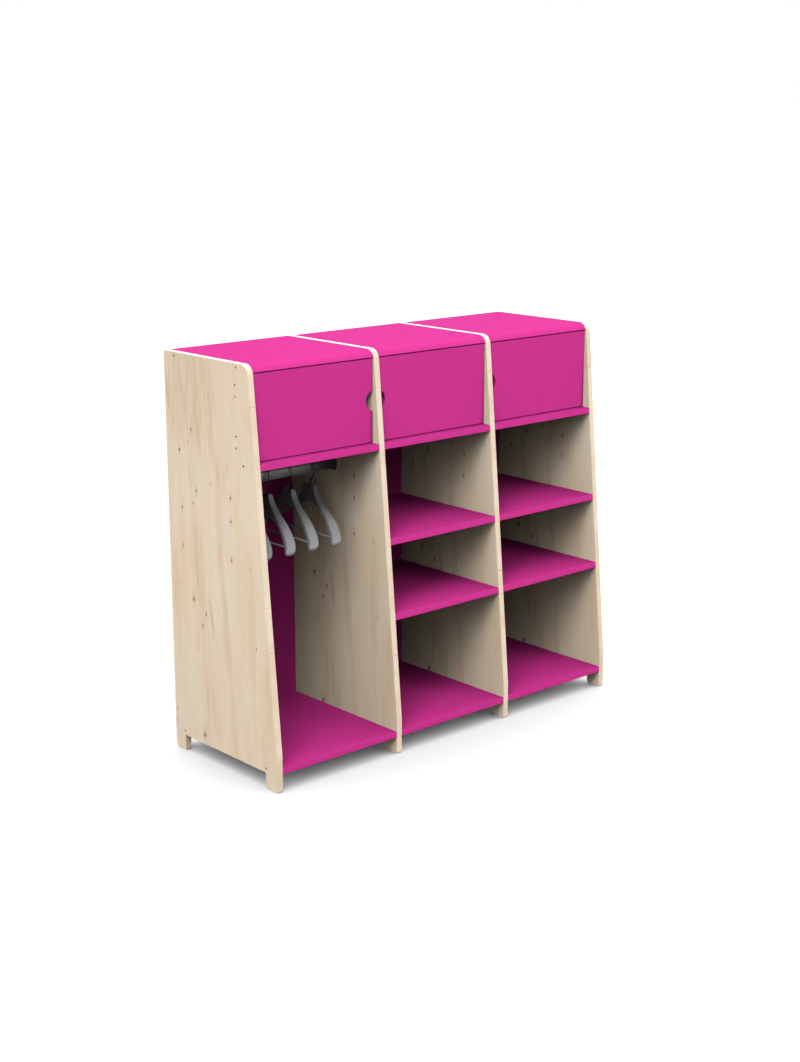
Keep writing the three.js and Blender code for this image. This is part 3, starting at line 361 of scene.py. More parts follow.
def edge_colours(shader, x, y, z):
    """The front and top edges show the blocks that the boards are joined from, with fine lines on them. Edges
    that face up are paler, which is a painted highlight.
    """
    panel = shader.math("ROUND", shader.math("MULTIPLY", x, EDGE_BLOCKS_ACROSS))
    row = shader.math("FLOOR", shader.math("MULTIPLY_ADD", z, EDGE_BLOCKS_UP, panel))
    block = shader.add("TexWhiteNoise", {"Vector": shader.vector(panel, row, 0.0)}).outputs["Value"]
    across = shader.math("MULTIPLY", x, EDGE_LINES_ACROSS)
    up = shader.math("MULTIPLY", z, EDGE_LINES_UP)
    line = shader.ramp(shader.noise(shader.vector(across, y, up), 1.0, 2.0), 0.42, 0.75)
    tan = shader.math("MULTIPLY_ADD", line, EDGE_LINE_SHARE, shader.math("MULTIPLY", block, EDGE_BLOCK_SHARE))
    edge = shader.mix(tan, SPRUCE_EDGE_PALE, SPRUCE_EDGE_TAN)
    marks = shader.math("MULTIPLY", edge_marks(shader, x, z), EDGE_MARK_SHARE)
    edge = shader.mix(marks, edge, EDGE_MARK)
    # Edges that face up turn near white, which is a painted highlight for the light from above
    return shader.mix(shader.ramp(shader.facing("Z"), 0.6, 0.95), edge, SPRUCE_EDGE_PAINTED_HIGHLIGHT)


def spruce():
    shader = Shader("solid_spruce", Roughness=0.6, Specular_IOR_Level=0.15)
    _, x, y, z = shader.object_place()
    heart, halo, bend = knots(shader, shader.vector(y, z, 0.0))

    # Soft streaks and fine fibres, all far longer than they are wide, besides two broad patches of painted
    # shade on the panels' tops
    across = shader.math("MULTIPLY", y, SWAYS_ACROSS)
    up = shader.math("MULTIPLY", z, SWAYS_UP)
    sway = shader.noise(shader.vector(0.0, across, up), 1.0, 1.0)
    bent = shader.math("ADD", shader.math("MULTIPLY_ADD", sway, GRAIN_SWAY, bend), y)
    fibre_place = shader.vector(x, bent, shader.math("MULTIPLY", z, FIBRE_RISE))
    fibres = shader.noise(fibre_place, FIBRE_SCALE, 1.0)
    strength = shader.ramp(grain(shader, bent, z, "ragged"), 0.35, 0.65, 0.55, 1.3)
    place = shader.vector(y, z, 1.0)

    broad = shader.ramp(grain(shader, bent, z, "broad"), 0.32, 0.68)
    colours = shader.mix(broad, SPRUCE_PALE, SPRUCE_MIDDLE)
    fine = shader.ramp(grain(shader, bent, z, "fine"), 0.45, 0.75)
    tan = shader.math("MULTIPLY", strength, streaks(shader, place, TAN_STREAKS))
    tan = shader.math("MULTIPLY_ADD", fine, FINE_SHARE, tan)
    colours = shader.mix(shader.math("MULTIPLY", tan, TAN_SHARE, clamp=True), colours, SPRUCE_TAN)
    # Greyish grain streaks, and the painted shade on the panels' tops
    grey_and_top_shade = shader.math("MULTIPLY", strength, streaks(shader, place, GREY_STREAKS_AND_TOP_SHADE))
    colours = shader.mix(shader.math("MULTIPLY", grey_and_top_shade, STREAK_SHARE, clamp=True), colours, SPRUCE_GREY_AND_TOP_SHADE)
    lilac = streaks(shader, place, LILAC_STREAKS)
    colours = shader.mix(shader.math("MULTIPLY", lilac, STREAK_SHARE, clamp=True), colours, SPRUCE_LILAC)
    colours = shader.mix(shader.ramp(fibres, 0.4, 0.8, 0.0, FIBRE_SHARE), colours, SPRUCE_FIBRE)
    colours = shader.mix(shader.math("MULTIPLY", halo, HALO_SHARE), colours, KNOT_HALO)
    colours = shader.mix(heart, colours, KNOT_HEART)

    edge = edge_colours(shader, x, y, z)
    facing = shader.math("ABSOLUTE", shader.facing("X"))
    on_edge = shader.ramp(facing, 0.45, 0.85, 1.0, 0.0)
    shader.feed(shader.surface.inputs["Base Color"], shader.mix(on_edge, colours, edge))
    shader.bump(shader.math("MULTIPLY_ADD", heart, KNOT_RISE, fibres), *SPRUCE_RELIEF)
    return shader.material


# Lacquer, metals and plastics. Dimming is the darker patches' share of the base colour, and spread
# is how far the roughness varies
LACQUER_DEEP = colour("C9358B")
LACQUER_LIGHT = colour("CD398F")
LACQUER_CLOUD_SCALE = 5.0
LACQUER_PEEL_SCALE = 900.0
LACQUER_ROUGHNESS = (0.50, 0.58)
LACQUER_RELIEF = (0.04, 0.0002)
METAL_DIMMING = 0.82
METAL_SPREAD = 0.05
METAL_RELIEF = (0.04, 0.0001)
PLASTIC_DIMMING = 0.9
PLASTIC_SPREAD = 0.04
PLASTIC_CLOUD_SCALE = 30.0
PLASTIC_RELIEF = (0.06, 0.0002)


def lacquer():
    shader = Shader("pink_lacquer", Specular_IOR_Level=0.004)
    place, _, _, _ = shader.object_place()
    cloud = shader.noise(place, LACQUER_CLOUD_SCALE, 3.0, 0.5)
    peel = shader.noise(place, LACQUER_PEEL_SCALE, 2.0, 0.5)
    shader.feed(shader.surface.inputs["Base Color"], shader.mix(cloud, LACQUER_DEEP, LACQUER_LIGHT))
    shader.feed(shader.surface.inputs["Roughness"], shader.ramp(cloud, 0.3, 0.7, *LACQUER_ROUGHNESS))
    shader.bump(peel, *LACQUER_RELIEF)
    return shader.material


def metal(name, base, roughness, metallic, brush_scale, underside_painted_light=None):
    """A brushed metal. Where it looks down it takes another colour if one is given, a painted highlight for
    light thrown up from below.
    """
    shader = Shader(name, Metallic=metallic)
    place, _, _, _ = shader.object_place()
    brushed = shader.noise(place, brush_scale, 3.0, 0.6)
    colours = shader.mix(brushed, dimmed(base, METAL_DIMMING), base)
    # Paler where it looks down: painted light from below
    if underside_painted_light:
        colours = shader.mix(shader.ramp(shader.facing("Z"), -0.9, -0.6, 1.0, 0.0), colours, underside_painted_light)
    shader.feed(shader.surface.inputs["Base Color"], colours)
    rough = shader.ramp(brushed, 0.3, 0.7, roughness - METAL_SPREAD, roughness + METAL_SPREAD)
    shader.feed(shader.surface.inputs["Roughness"], rough)
    shader.bump(brushed, *METAL_RELIEF)
    return shader.material


def plastic(name, base, roughness, grain_scale, upper=None):
    """A fine-grained plastic. Upper is a colour that it turns to between two heights, if given."""
    shader = Shader(name, Specular_IOR_Level=0.3)
    place, _, _, z = shader.object_place()
    cloud = shader.noise(place, PLASTIC_CLOUD_SCALE, 2.0, 0.5)
    grained = shader.noise(place, grain_scale, 2.0, 0.5)
    colours = shader.mix(cloud, dimmed(base, PLASTIC_DIMMING), base)
    if upper:
        upper_colour, low, high = upper
        colours = shader.mix(shader.ramp(z, low, high), colours, upper_colour)
    shader.feed(shader.surface.inputs["Base Color"], colours)
    rough = shader.ramp(grained, 0.3, 0.7, roughness - PLASTIC_SPREAD, roughness + PLASTIC_SPREAD)
    shader.feed(shader.surface.inputs["Roughness"], rough)
    shader.bump(grained, *PLASTIC_RELIEF)
    return shader.material


solid_spruce = spruce()
pink_lacquer = lacquer()
hinge_steel = metal("hinge_steel", colour("C4C8CC"), 0.32, 1.0, 420.0)
# The rail's pale colour where it looks down is painted light, as if thrown up by the floor
rail_metal = metal("rail_metal", colour("565958"), 0.50, 0.1, 300.0, colour("D8D8D0"))
hook_wire = metal("hook_wire", colour("1E1E20"), 0.4, 0.3, 500.0)
screw_bronze = metal("screw_bronze", colour("54402E"), 0.45, 0.5, 600.0)

# The hangers darken from the arms to the heads, which stands for the shade of the shelf above them
HANGER_FADE_SHARES = (0.36, 0.72)
hanger_low, hanger_high = (corner.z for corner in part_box("hanger_2"))
hanger_fade = [hanger_low + share * (hanger_high - hanger_low) for share in HANGER_FADE_SHARES]
hanger_plastic = plastic("hanger_plastic", colour("8F8F91"), 0.5, 1500.0, (colour("5C5E5E"), *hanger_fade))
clip_plastic = plastic("clip_plastic", colour("3A3A3A"), 0.5, 1500.0)
stop_plastic = plastic("stop_plastic", colour("D9DADA"), 0.45, 1200.0)


# Nodes: softened edges and materials
SHARP_ANGLE = math.radians(40)
FLAT_ANGLE = math.radians(0.5)
WELD_DISTANCE = 0.00002
HOLE_SIDE_LENGTH = 0.0045
PANEL_EDGE = 0.0018
BOARD_EDGE = 0.0008
BEVEL_SEGMENTS = 3


def node_group(name):
    group = bpy.data.node_groups.new(name, "GeometryNodeTree")
    group.interface.new_socket("Geometry", in_out="INPUT", socket_type="NodeSocketGeometry")
    group.interface.new_socket("Geometry", in_out="OUTPUT", socket_type="NodeSocketGeometry")
    return group


def compare(group, value, limit):
    """A socket that is true where a value is greater than a limit."""
    node = group.nodes.new("FunctionNodeCompare")
    node.operation = "GREATER_THAN"
    node.inputs["B"].default_value = limit
    group.links.new(value, node.inputs["A"])
    return node.outputs["Result"]


def softener(name, angle):
    """Nodes that weld a mesh and shade it smoothly except where its faces meet at more than an angle."""
    group = node_group(name)
    start = group.nodes.new("NodeGroupInput")
    weld = group.nodes.new("GeometryNodeMergeByDistance")
    weld.inputs["Distance"].default_value = WELD_DISTANCE
    faces = group.nodes.new("GeometryNodeSetShadeSmooth")
    edges = group.nodes.new("GeometryNodeSetShadeSmooth")
    edges.domain = "EDGE"
    edges.inputs["Shade Smooth"].default_value = False
    between = group.nodes.new("GeometryNodeInputMeshEdgeAngle")
    end = group.nodes.new("NodeGroupOutput")
    join = group.links.new
    join(start.outputs[0], weld.inputs["Geometry"])
    join(weld.outputs["Geometry"], faces.inputs["Geometry"])
    join(faces.outputs["Geometry"], edges.inputs["Geometry"])
    join(compare(group, between.outputs["Unsigned Angle"], angle), edges.inputs["Selection"])
    join(edges.outputs["Geometry"], end.inputs[0])
    return group


def edge_chooser(name, angle, length):
    """Nodes that mark the sharp edges over a length for the bevel, so that small holes keep their rims."""
    group = node_group(name)
    start = group.nodes.new("NodeGroupInput")
    between = group.nodes.new("GeometryNodeInputMeshEdgeAngle")
    ends = group.nodes.new("GeometryNodeInputMeshEdgeVertices")
    reach = group.nodes.new("ShaderNodeVectorMath")
    reach.operation = "DISTANCE"
    both = group.nodes.new("ShaderNodeMath")
    both.operation = "MULTIPLY"
    store = group.nodes.new("GeometryNodeStoreNamedAttribute")
    store.data_type = "FLOAT"
    store.domain = "EDGE"
    store.inputs["Name"].default_value = "bevel_weight_edge"
    value = [socket for socket in store.inputs if socket.name == "Value" and socket.enabled][0]
    end = group.nodes.new("NodeGroupOutput")
    join = group.links.new
    join(ends.outputs["Position 1"], reach.inputs[0])
    join(ends.outputs["Position 2"], reach.inputs[1])
    join(compare(group, between.outputs["Unsigned Angle"], angle), both.inputs[0])
    join(compare(group, reach.outputs["Value"], length), both.inputs[1])
    join(both.outputs[0], value)
    join(start.outputs[0], store.inputs["Geometry"])
    join(store.outputs["Geometry"], end.inputs[0])
    return group


soft_shading = softener("soft_shading", SHARP_ANGLE)
chosen_edges = edge_chooser("chosen_edges", SHARP_ANGLE, HOLE_SIDE_LENGTH)


def add_nodes(piece, group):
    modifier = piece.modifiers.new(group.name, "NODES")
    modifier.node_group = group


def even_faces(piece):
    """Keeps large flat faces evenly lit up to their rounded edges."""
    modifier = piece.modifiers.new("even_faces", "WEIGHTED_NORMAL")
    modifier.keep_sharp = True


def soften_edges(piece, width):
    """Rounds the long edges of a board or panel."""
    add_nodes(piece, soft_shading)
    flat = piece.modifiers.new("flat_faces", "DECIMATE")
    flat.decimate_type = "DISSOLVE"
    flat.angle_limit = FLAT_ANGLE
    add_nodes(piece, chosen_edges)
    bevel = piece.modifiers.new("broken_edges", "BEVEL")
    bevel.width = width
    bevel.segments = BEVEL_SEGMENTS
    bevel.limit_method = "WEIGHT"
    even_faces(piece)


def paint(piece, material):
    piece.data.materials.clear()
    piece.data.materials.append(material)


for name, node in nodes.items():
    if name.startswith(("side_panel", "divider")):
        paint(node, solid_spruce)
        soften_edges(node, PANEL_EDGE)
    elif name.startswith(("top_board", "back_panel")) or ("shelf_" in name and "wire" not in name):
        paint(node, pink_lacquer)
        soften_edges(node, BOARD_EDGE)
    elif name.startswith("door_"):
        paint(node, pink_lacquer)
        add_nodes(node, soft_shading)
        even_faces(node)
    elif name.startswith("hinge_") or "wire" in name:
        paint(node, hinge_steel)
        add_nodes(node, soft_shading)
    elif name.startswith(("hanging_rail", "rail_socket")):
        paint(node, rail_metal)
        add_nodes(node, soft_shading)


# Making pieces
TURNED_SIDES = 24
SOCKET_LOBES = 6


def finish_piece(mesh, name, body, material, matrix):
    mesh.transform(matrix)
    piece = bpy.data.objects.new(name, mesh)
    scene.collection.objects.link(piece)
    paint(piece, material)
    add_nodes(piece, soft_shading)
    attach(piece, body)
    return piece


def skin(name, rings):
    """A closed mesh over rings of points that all have the same count."""
    work = bmesh.new()
    rows = [[work.verts.new(point) for point in ring] for ring in rings]
    for row, onward in zip(rows, rows[1:]):
        for index, corner in enumerate(row):
            following = (index + 1) % len(row)
            work.faces.new((corner, row[following], onward[following], onward[index]))
    work.faces.new(reversed(rows[0]))
    work.faces.new(rows[-1])
    bmesh.ops.recalc_face_normals(work, faces=work.faces)
    mesh = bpy.data.meshes.new(name)
    work.to_mesh(mesh)
    work.free()
    return mesh


def turned(name, profile):
    """A closed body of rings [radius, height, lobes] about Z. Lobes is the share drawn in at six places."""
    rings = []
    for radius, height, lobes in profile:
        ring = []
        for side in range(TURNED_SIDES):
            angle = 2 * math.pi * side / TURNED_SIDES
            reach = radius * (1 - lobes * (0.5 + 0.5 * math.cos(SOCKET_LOBES * angle)))
            ring.append(Vector((reach * math.cos(angle), reach * math.sin(angle), height)))
        rings.append(ring)
    return skin(name, rings)


def pointing(place, direction):
    """The matrix that puts the origin at a place and turns +Z to a direction."""
    turn = Vector(direction).to_track_quat("Z", "X").to_matrix().to_4x4()
    return Matrix.Translation(Vector(place)) @ turn


# Screws through the outer panels, and the hinges' screws and bolts
SCREW_HEAD_RADIUS = 0.0032
SCREW_SHANK_RADIUS = 0.0024
SCREW_SEEN_LENGTH = 0.012
SCREWS_BACK_INSET = {"top_board": 0.050, "door_shelf": 0.063, "bottom_shelf": 0.047}
TOP_BOARD_THICKNESS = 0.022
SUNK = 0.0002
CUP_SCREW_OUTSET = 0.034
CUP_SCREW_RISE = 0.0225
CUP_SCREW_HEAD_RADIUS = 0.0030
CUP_SCREW_SHANK_RADIUS = 0.0016
CUP_SCREW_LENGTH = 0.011
PLATE_THICKNESS = 0.0025
PLATE_BOLT_SETBACK = 0.007
PLATE_BOLT_RISE = 0.016
PLATE_BOLT_RADIUS = 0.0020
PLATE_BOLT_CAP_RADIUS = 0.0027
PLATE_BOLT_CAP_DEPTH = 0.0015
PLATE_BOLT_HEAD_RADIUS = 0.0034
PLATE_BOLT_HEAD_HEIGHT = 0.0018
BOLT_SOCKET_DEPTH = 0.0008
BOLT_EDGE_BREAK = 0.0006
CAP_EDGE_BREAK = 0.0002
SCREW_LOBES = 0.28
BOLT_LOBES = 0.13
RAIL_SOCKET_BASE = 0.0025
RAIL_SCREW_RISE = 0.007
RAIL_SCREW_SHANK_RADIUS = 0.0018
RAIL_SCREW_LENGTH = 0.014


def countersunk_screw(name, body, place, direction, radius, shank, length, material):
    """A screw with a six-lobed socket, whose head's face is at a place and looks in a direction."""
    socket = radius * 0.46
    profile = [
        (shank * 0.5, -length, 0), (shank, -length * 0.92, 0), (shank, -radius, 0),
        (radius, -radius * 0.16, 0), (radius * 0.96, 0, 0), (socket * 1.12, 0, 0),
        (socket, -radius * 0.05, SCREW_LOBES), (socket * 0.9, -radius * 0.5, SCREW_LOBES),
        (socket * 0.3, -radius * 0.62, 0),
    ]
    finish_piece(turned(name, profile), name, body, material, pointing(place, direction))


def plate_bolt(name, place, direction):
    """A bolt from a hinge plate through its panel to a cap whose face is at a place on the far side."""
    through = PANEL_THICKNESS + PLATE_THICKNESS
    head = PLATE_BOLT_HEAD_RADIUS
    cap = PLATE_BOLT_CAP_RADIUS
    top = through + PLATE_BOLT_HEAD_HEIGHT
    profile = [
        (head * 0.40, BOLT_SOCKET_DEPTH - top, BOLT_LOBES), (head * 0.44, -top, BOLT_LOBES),
        (head * 0.80, -top, 0), (head, BOLT_EDGE_BREAK - top, 0), (head, -through, 0),
        (PLATE_BOLT_RADIUS, -through, 0), (PLATE_BOLT_RADIUS, -PLATE_BOLT_CAP_DEPTH, 0),
        (cap, -PLATE_BOLT_CAP_DEPTH, 0), (cap, -CAP_EDGE_BREAK, 0), (cap * 0.92, 0, 0),
        (cap * 0.45, 0, BOLT_LOBES), (cap * 0.40, -BOLT_SOCKET_DEPTH, BOLT_LOBES),
    ]
    matrix = pointing(place, direction)
    finish_piece(turned(name, profile), name, "carcass", screw_bronze, matrix)


def add_panel_screws():
    """Screws through the outer panels into the boards of the outer bays."""
    for side, face, outwards in (("left", PANEL_LEFT_FACE, -1), ("right", PANEL_RIGHT_FACE, 1)):
        for board, back_inset in SCREWS_BACK_INSET.items():
            low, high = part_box(f"{board}_{side}")
            z = high.z - TOP_BOARD_THICKNESS / 2 if board == "top_board" else (low.z + high.z) / 2
            front_y = front_edge_at(z) + FASTENER_FRONT_INSET
            for end, y in (("front", front_y), ("back", BACK_Y - back_inset)):
                place = (face - SUNK * outwards, y, z)
                countersunk_screw(
                    f"{board}_screw_{side}_{end}", "carcass", place, (outwards, 0, 0),
                    SCREW_HEAD_RADIUS, SCREW_SHANK_RADIUS, SCREW_SEEN_LENGTH, screw_bronze,
                )


def add_hinge_fasteners():
    """Bolts of the hinge plates and screws of the cups. Turn is +1 where the panel is on the door's left."""
    for bay, sides in BAYS.items():
        low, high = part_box(sides["hung"])
        turn = sides["turn"]
        near_face, far_face = (high.x, low.x) if turn > 0 else (low.x, high.x)
        for level in ("upper", "lower"):
            plate_low, plate_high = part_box(f"hinge_plate_{bay}_{level}")
            cup_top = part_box(f"hinge_cup_{bay}_{level}")[1].y
            middle = (plate_low.z + plate_high.z) / 2
            for end, way in (("top", 1), ("bottom", -1)):
                bolt_y = plate_low.y + PLATE_BOLT_SETBACK
                place = (far_face + SUNK * turn, bolt_y, middle + way * PLATE_BOLT_RISE)
                plate_bolt(f"hinge_bolt_{bay}_{level}_{end}", place, (-turn, 0, 0))
                place = (near_face + turn * CUP_SCREW_OUTSET, cup_top, middle + way * CUP_SCREW_RISE)
                countersunk_screw(
                    f"hinge_screw_{bay}_{level}_{end}", f"{bay}_door", place, (0, 1, 0),
                    CUP_SCREW_HEAD_RADIUS, CUP_SCREW_SHANK_RADIUS, CUP_SCREW_LENGTH, hinge_steel,
                )


def add_rail_screws():
    rail_low, rail_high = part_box("hanging_rail")
    y = (rail_low.y + rail_high.y) / 2
    middle = (rail_low.z + rail_high.z) / 2
    for side, panel, inwards in (("left", "side_panel_left", 1), ("right", "divider_left", -1)):
        low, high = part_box(panel)
        face = (high.x if inwards > 0 else low.x) + inwards * RAIL_SOCKET_BASE
        for end, way in (("top", 1), ("bottom", -1)):
            place = (face, y, middle + way * RAIL_SCREW_RISE)
            countersunk_screw(
                f"rail_screw_{side}_{end}", "carcass", place, (inwards, 0, 0),
                RAIL_SCREW_SHANK_RADIUS, RAIL_SCREW_SHANK_RADIUS, RAIL_SCREW_LENGTH, screw_bronze,
            )


# Door stops: a peg on the panel at each door's free edge, with its side against the door's back
STOP_RADIUS = 0.0040
STOP_REACH = 0.0110
STOP_GAP = 0.0003
STOP_BASE_BREAK = 0.0005
STOP_SHOULDER_DEPTH = 0.0015
STOP_TIP_DEPTH = 0.0004
STOP_HEIGHTS = {"top": 1.130, "bottom": 0.958}


def add_door_stops():
    for bay, sides in BAYS.items():
        low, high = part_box(sides["free"])
        inwards = -sides["turn"]
        face = low.x if inwards < 0 else high.x
        for end, z in STOP_HEIGHTS.items():
            peg = turned(f"door_stop_{bay}_{end}", [
                (STOP_RADIUS * 0.9, 0, 0), (STOP_RADIUS, STOP_BASE_BREAK, 0),
                (STOP_RADIUS, STOP_REACH - STOP_SHOULDER_DEPTH, 0),
                (STOP_RADIUS * 0.85, STOP_REACH - STOP_TIP_DEPTH, 0), (STOP_RADIUS * 0.5, STOP_REACH, 0),
            ])
            place = pointing((face, DOOR_BACK_Y + STOP_RADIUS + STOP_GAP, z), (inwards, 0, 0))
            finish_piece(peg, f"door_stop_{bay}_{end}", "carcass", stop_plastic, place)


add_panel_screws()
add_hinge_fasteners()
add_rail_screws()
add_door_stops()


# Hangers: channel-shaped arms on a thick head, lofted along their length
HANGER_HALF_SPAN = 0.177
HANGER_DROP = 0.144
HANGER_SWEEP = 0.050
HANGER_HEAD_WIDTH = 0.018
HANGER_TIP_WIDTH = 0.034
HANGER_WALL = 0.0022
HANGER_HEAD_ROOF = 0.009
HANGER_ROUND = 0.0042
HANGER_CROWN = 0.0012
TROUSER_BAR_RADIUS = 0.003
TROUSER_BAR_HEIGHT = 0.020
TROUSER_BAR_SWEEP = 0.046
TROUSER_BAR_REACH = 0.166
BAR_CLIP_LENGTH = 0.008
BAR_CLIP_RADIUS = 0.0045
BAR_CLIP_INSET = 0.014
BAR_END_INSET = 0.0008
CLIP_END_INSET = 0.0006
STEPS_BETWEEN_SLICES = 3
ROUND_STEPS = 4

# Shares of the half span and the drop at the outer and inner edges, of the way from the head's
# width to the tip's and from the head's thick roof to the arms' thin one, and of the sweep
HANGER_SLICE_SHARES = [
    (0.000, 0.025, 0.000, 0.319, 0.00, 0.0, 0.000), (0.105, 0.000, 0.079, 0.319, 0.02, 0.2, 0.000),
    (0.133, 0.034, 0.110, 0.323, 0.05, 0.5, 0.000), (0.160, 0.124, 0.141, 0.340, 0.12, 0.8, 0.000),
    (0.214, 0.235, 0.181, 0.368, 0.22, 1.0, 0.000), (0.312, 0.368, 0.268, 0.437, 0.38, 1.0, 0.010),
    (0.467, 0.493, 0.434, 0.565, 0.58, 1.0, 0.104), (0.644, 0.603, 0.605, 0.687, 0.78, 1.0, 0.320),
    (0.798, 0.715, 0.755, 0.797, 0.92, 1.0, 0.540), (0.910, 0.808, 0.866, 0.885, 1.00, 1.0, 0.740),
    (0.985, 0.874, 0.934, 0.933, 0.97, 1.0, 0.920), (1.000, 0.933, 0.949, 0.955, 0.82, 1.0, 0.990),
    (0.985, 0.976, 0.951, 0.972, 0.58, 1.0, 1.000), (0.957, 1.000, 0.944, 0.990, 0.30, 1.0, 1.000),
]
CHANNEL_DEPTH_SHARE = 0.85
CHANNEL_END_SHARE = 0.90


def between(rows, position):
    """Values of a table at a place between its rows, on a curve through them."""
    index = min(int(position), len(rows) - 2)
    share = position - index
    before, here, there, after = (rows[min(max(i, 0), len(rows) - 1)] for i in range(index - 1, index + 3))
    values = []
    for a, b, c, d in zip(before, here, there, after):
        bend = 2 * a - 5 * b + 4 * c - d
        values.append(b + 0.5 * share * (c - a + share * (bend + share * (3 * (b - c) + d - a))))
    return values


def hanger_ring(shares, side):
    """The section of a hanger at one slice: a crowned back and a hollow that opens on its inner side."""
    outer_y, outer_z, inner_y, inner_z, widen, thin, sweep = shares
    top = Vector((0, side * outer_y * HANGER_HALF_SPAN, -outer_z * HANGER_DROP))
    under = Vector((0, side * inner_y * HANGER_HALF_SPAN, -inner_z * HANGER_DROP))
    depth = (top - under).length
    down = (under - top).normalized()
    forwards = -sweep * HANGER_SWEEP
    half = (HANGER_HEAD_WIDTH + (HANGER_TIP_WIDTH - HANGER_HEAD_WIDTH) * widen) / 2
    inner = half - HANGER_WALL
    fillet = min(HANGER_ROUND, depth / 2, half * 0.7)
    roof = HANGER_HEAD_ROOF + (HANGER_WALL - HANGER_HEAD_ROOF) * min(max(thin, 0), 1)
    hollow = depth * CHANNEL_DEPTH_SHARE
    if outer_z <= CHANNEL_END_SHARE:
        hollow = min(roof, hollow)
    lip = min(HANGER_WALL, depth) * 0.3
    right_side = [(half, depth - lip), (half, (depth + fillet) / 2)]
    for step in range(ROUND_STEPS + 1):
        angle = math.pi / 2 * step / ROUND_STEPS
        right_side.append((half - fillet + fillet * math.cos(angle), fillet - fillet * math.sin(angle)))
    crown = []
    for step in (1, 2, 3):
        across = (half - fillet) * (1 - step / 2)
        crown.append((across, -HANGER_CROWN * (1 - (across / half) ** 2)))
    left_side = [(-across, fall) for across, fall in reversed(right_side)]
    channel = [
        (-half + lip, depth), (-inner - lip, depth), (-inner, depth - lip), (-inner, (depth + hollow) / 2),
        (-inner, hollow), (0, hollow), (inner, hollow),
        (inner, (depth + hollow) / 2), (inner, depth - lip), (inner + lip, depth), (half - lip, depth),
    ]
    outline = right_side + crown + left_side + channel
    return [top + down * fall + Vector((across + forwards, 0, 0)) for across, fall in outline]


def hanger_mesh(name):
    last = len(HANGER_SLICE_SHARES) - 1
    places = [step / STEPS_BETWEEN_SLICES for step in range(last * STEPS_BETWEEN_SLICES + 1)]
    sections = [between(HANGER_SLICE_SHARES, place) for place in places]
    back = [hanger_ring(section, 1) for section in sections]
    front = [hanger_ring(section, -1) for section in reversed(sections[1:])]
    return skin(name, front + back)


# Hooks: a bent wire that stands in the hanger's head and hangs over the rail
WIRE_RADIUS = 0.0018
HOOK_RADIUS = 0.0155
HOOK_STEM_HEIGHT = 0.014
HOOK_BUTTON_RADIUS = 0.0040
HOOK_BUTTON_HEIGHT = 0.0025
BUTTON_LOWER_BREAK = 0.0006
BUTTON_UPPER_BREAK = 0.0004
HOOK_SEAT_GAP = 0.0003
HOOK_FRONT_SHARES = [(0, -0.12), (0.06, 0.04), (0.34, 0.15), (0.72, 0.26), (0.94, 0.46), (1, 0.72)]
HOOK_BACK_SHARES = [(-1, 0.82), (-1.04, 0.62)]
HOOK_STEPS = 8
HOOK_FOOT = 0.001
WIRE_SIDES = 14
WIRE_END_SHARES = (0.5, 0.87)


def planar_tube(name, route, radius):
    """A round wire along a route in the YZ plane, with rounded ends."""
    rings = []
    for index, point in enumerate(route):
        before = route[max(index - 1, 0)]
        after = route[min(index + 1, len(route) - 1)]
        along = (after - before).normalized()
        rings.append((point, along, radius))
    first_point, first_along, _ = rings[0]
    last_point, last_along, _ = rings[-1]
    for share in WIRE_END_SHARES:
        reach = radius * share
        thin = radius * math.sqrt(1 - share ** 2)
        rings.insert(0, (first_point - first_along * reach, first_along, thin))
        rings.append((last_point + last_along * reach, last_along, thin))
    across = Vector((1, 0, 0))
    made = []
    for point, along, size in rings:
        aside = across.cross(along)
        ring = []
        for side in range(WIRE_SIDES):
            angle = 2 * math.pi * side / WIRE_SIDES
            ring.append(point + size * (math.cos(angle) * across + math.sin(angle) * aside))
        made.append(ring)
    return skin(name, made)


def hook_route(head_top, crown, middle_y, head_middle):
    stem_end = head_top + HOOK_STEM_HEIGHT
    bow_centre = crown - HOOK_RADIUS

    def placed(forward, rise):
        return (middle_y - forward * HOOK_RADIUS, stem_end + (bow_centre - stem_end) * rise)

    corners = [placed(*shares) for shares in HOOK_FRONT_SHARES]
    for degrees in range(0, 181, 30):
        angle = math.radians(degrees)
        corners.append((middle_y - HOOK_RADIUS * math.cos(angle), bow_centre + HOOK_RADIUS * math.sin(angle)))
    corners += [placed(*shares) for shares in HOOK_BACK_SHARES]
    spans = len(corners) - 1
    curve = [between(corners, step / HOOK_STEPS) for step in range(spans * HOOK_STEPS + 1)]
    stem = [(middle_y, head_middle - HANGER_HEAD_ROOF - HOOK_FOOT), (middle_y, head_middle)]
    return [Vector((0, y, z)) for y, z in stem + curve]


def along_y(name, radius, low, high, inset):
    """A rod along Y between two places, with its ends broken by an inset."""
    return turned(name, [
        (radius * 0.75, low, 0), (radius, low + inset, 0),
        (radius, high - inset, 0), (radius * 0.75, high, 0),
    ])


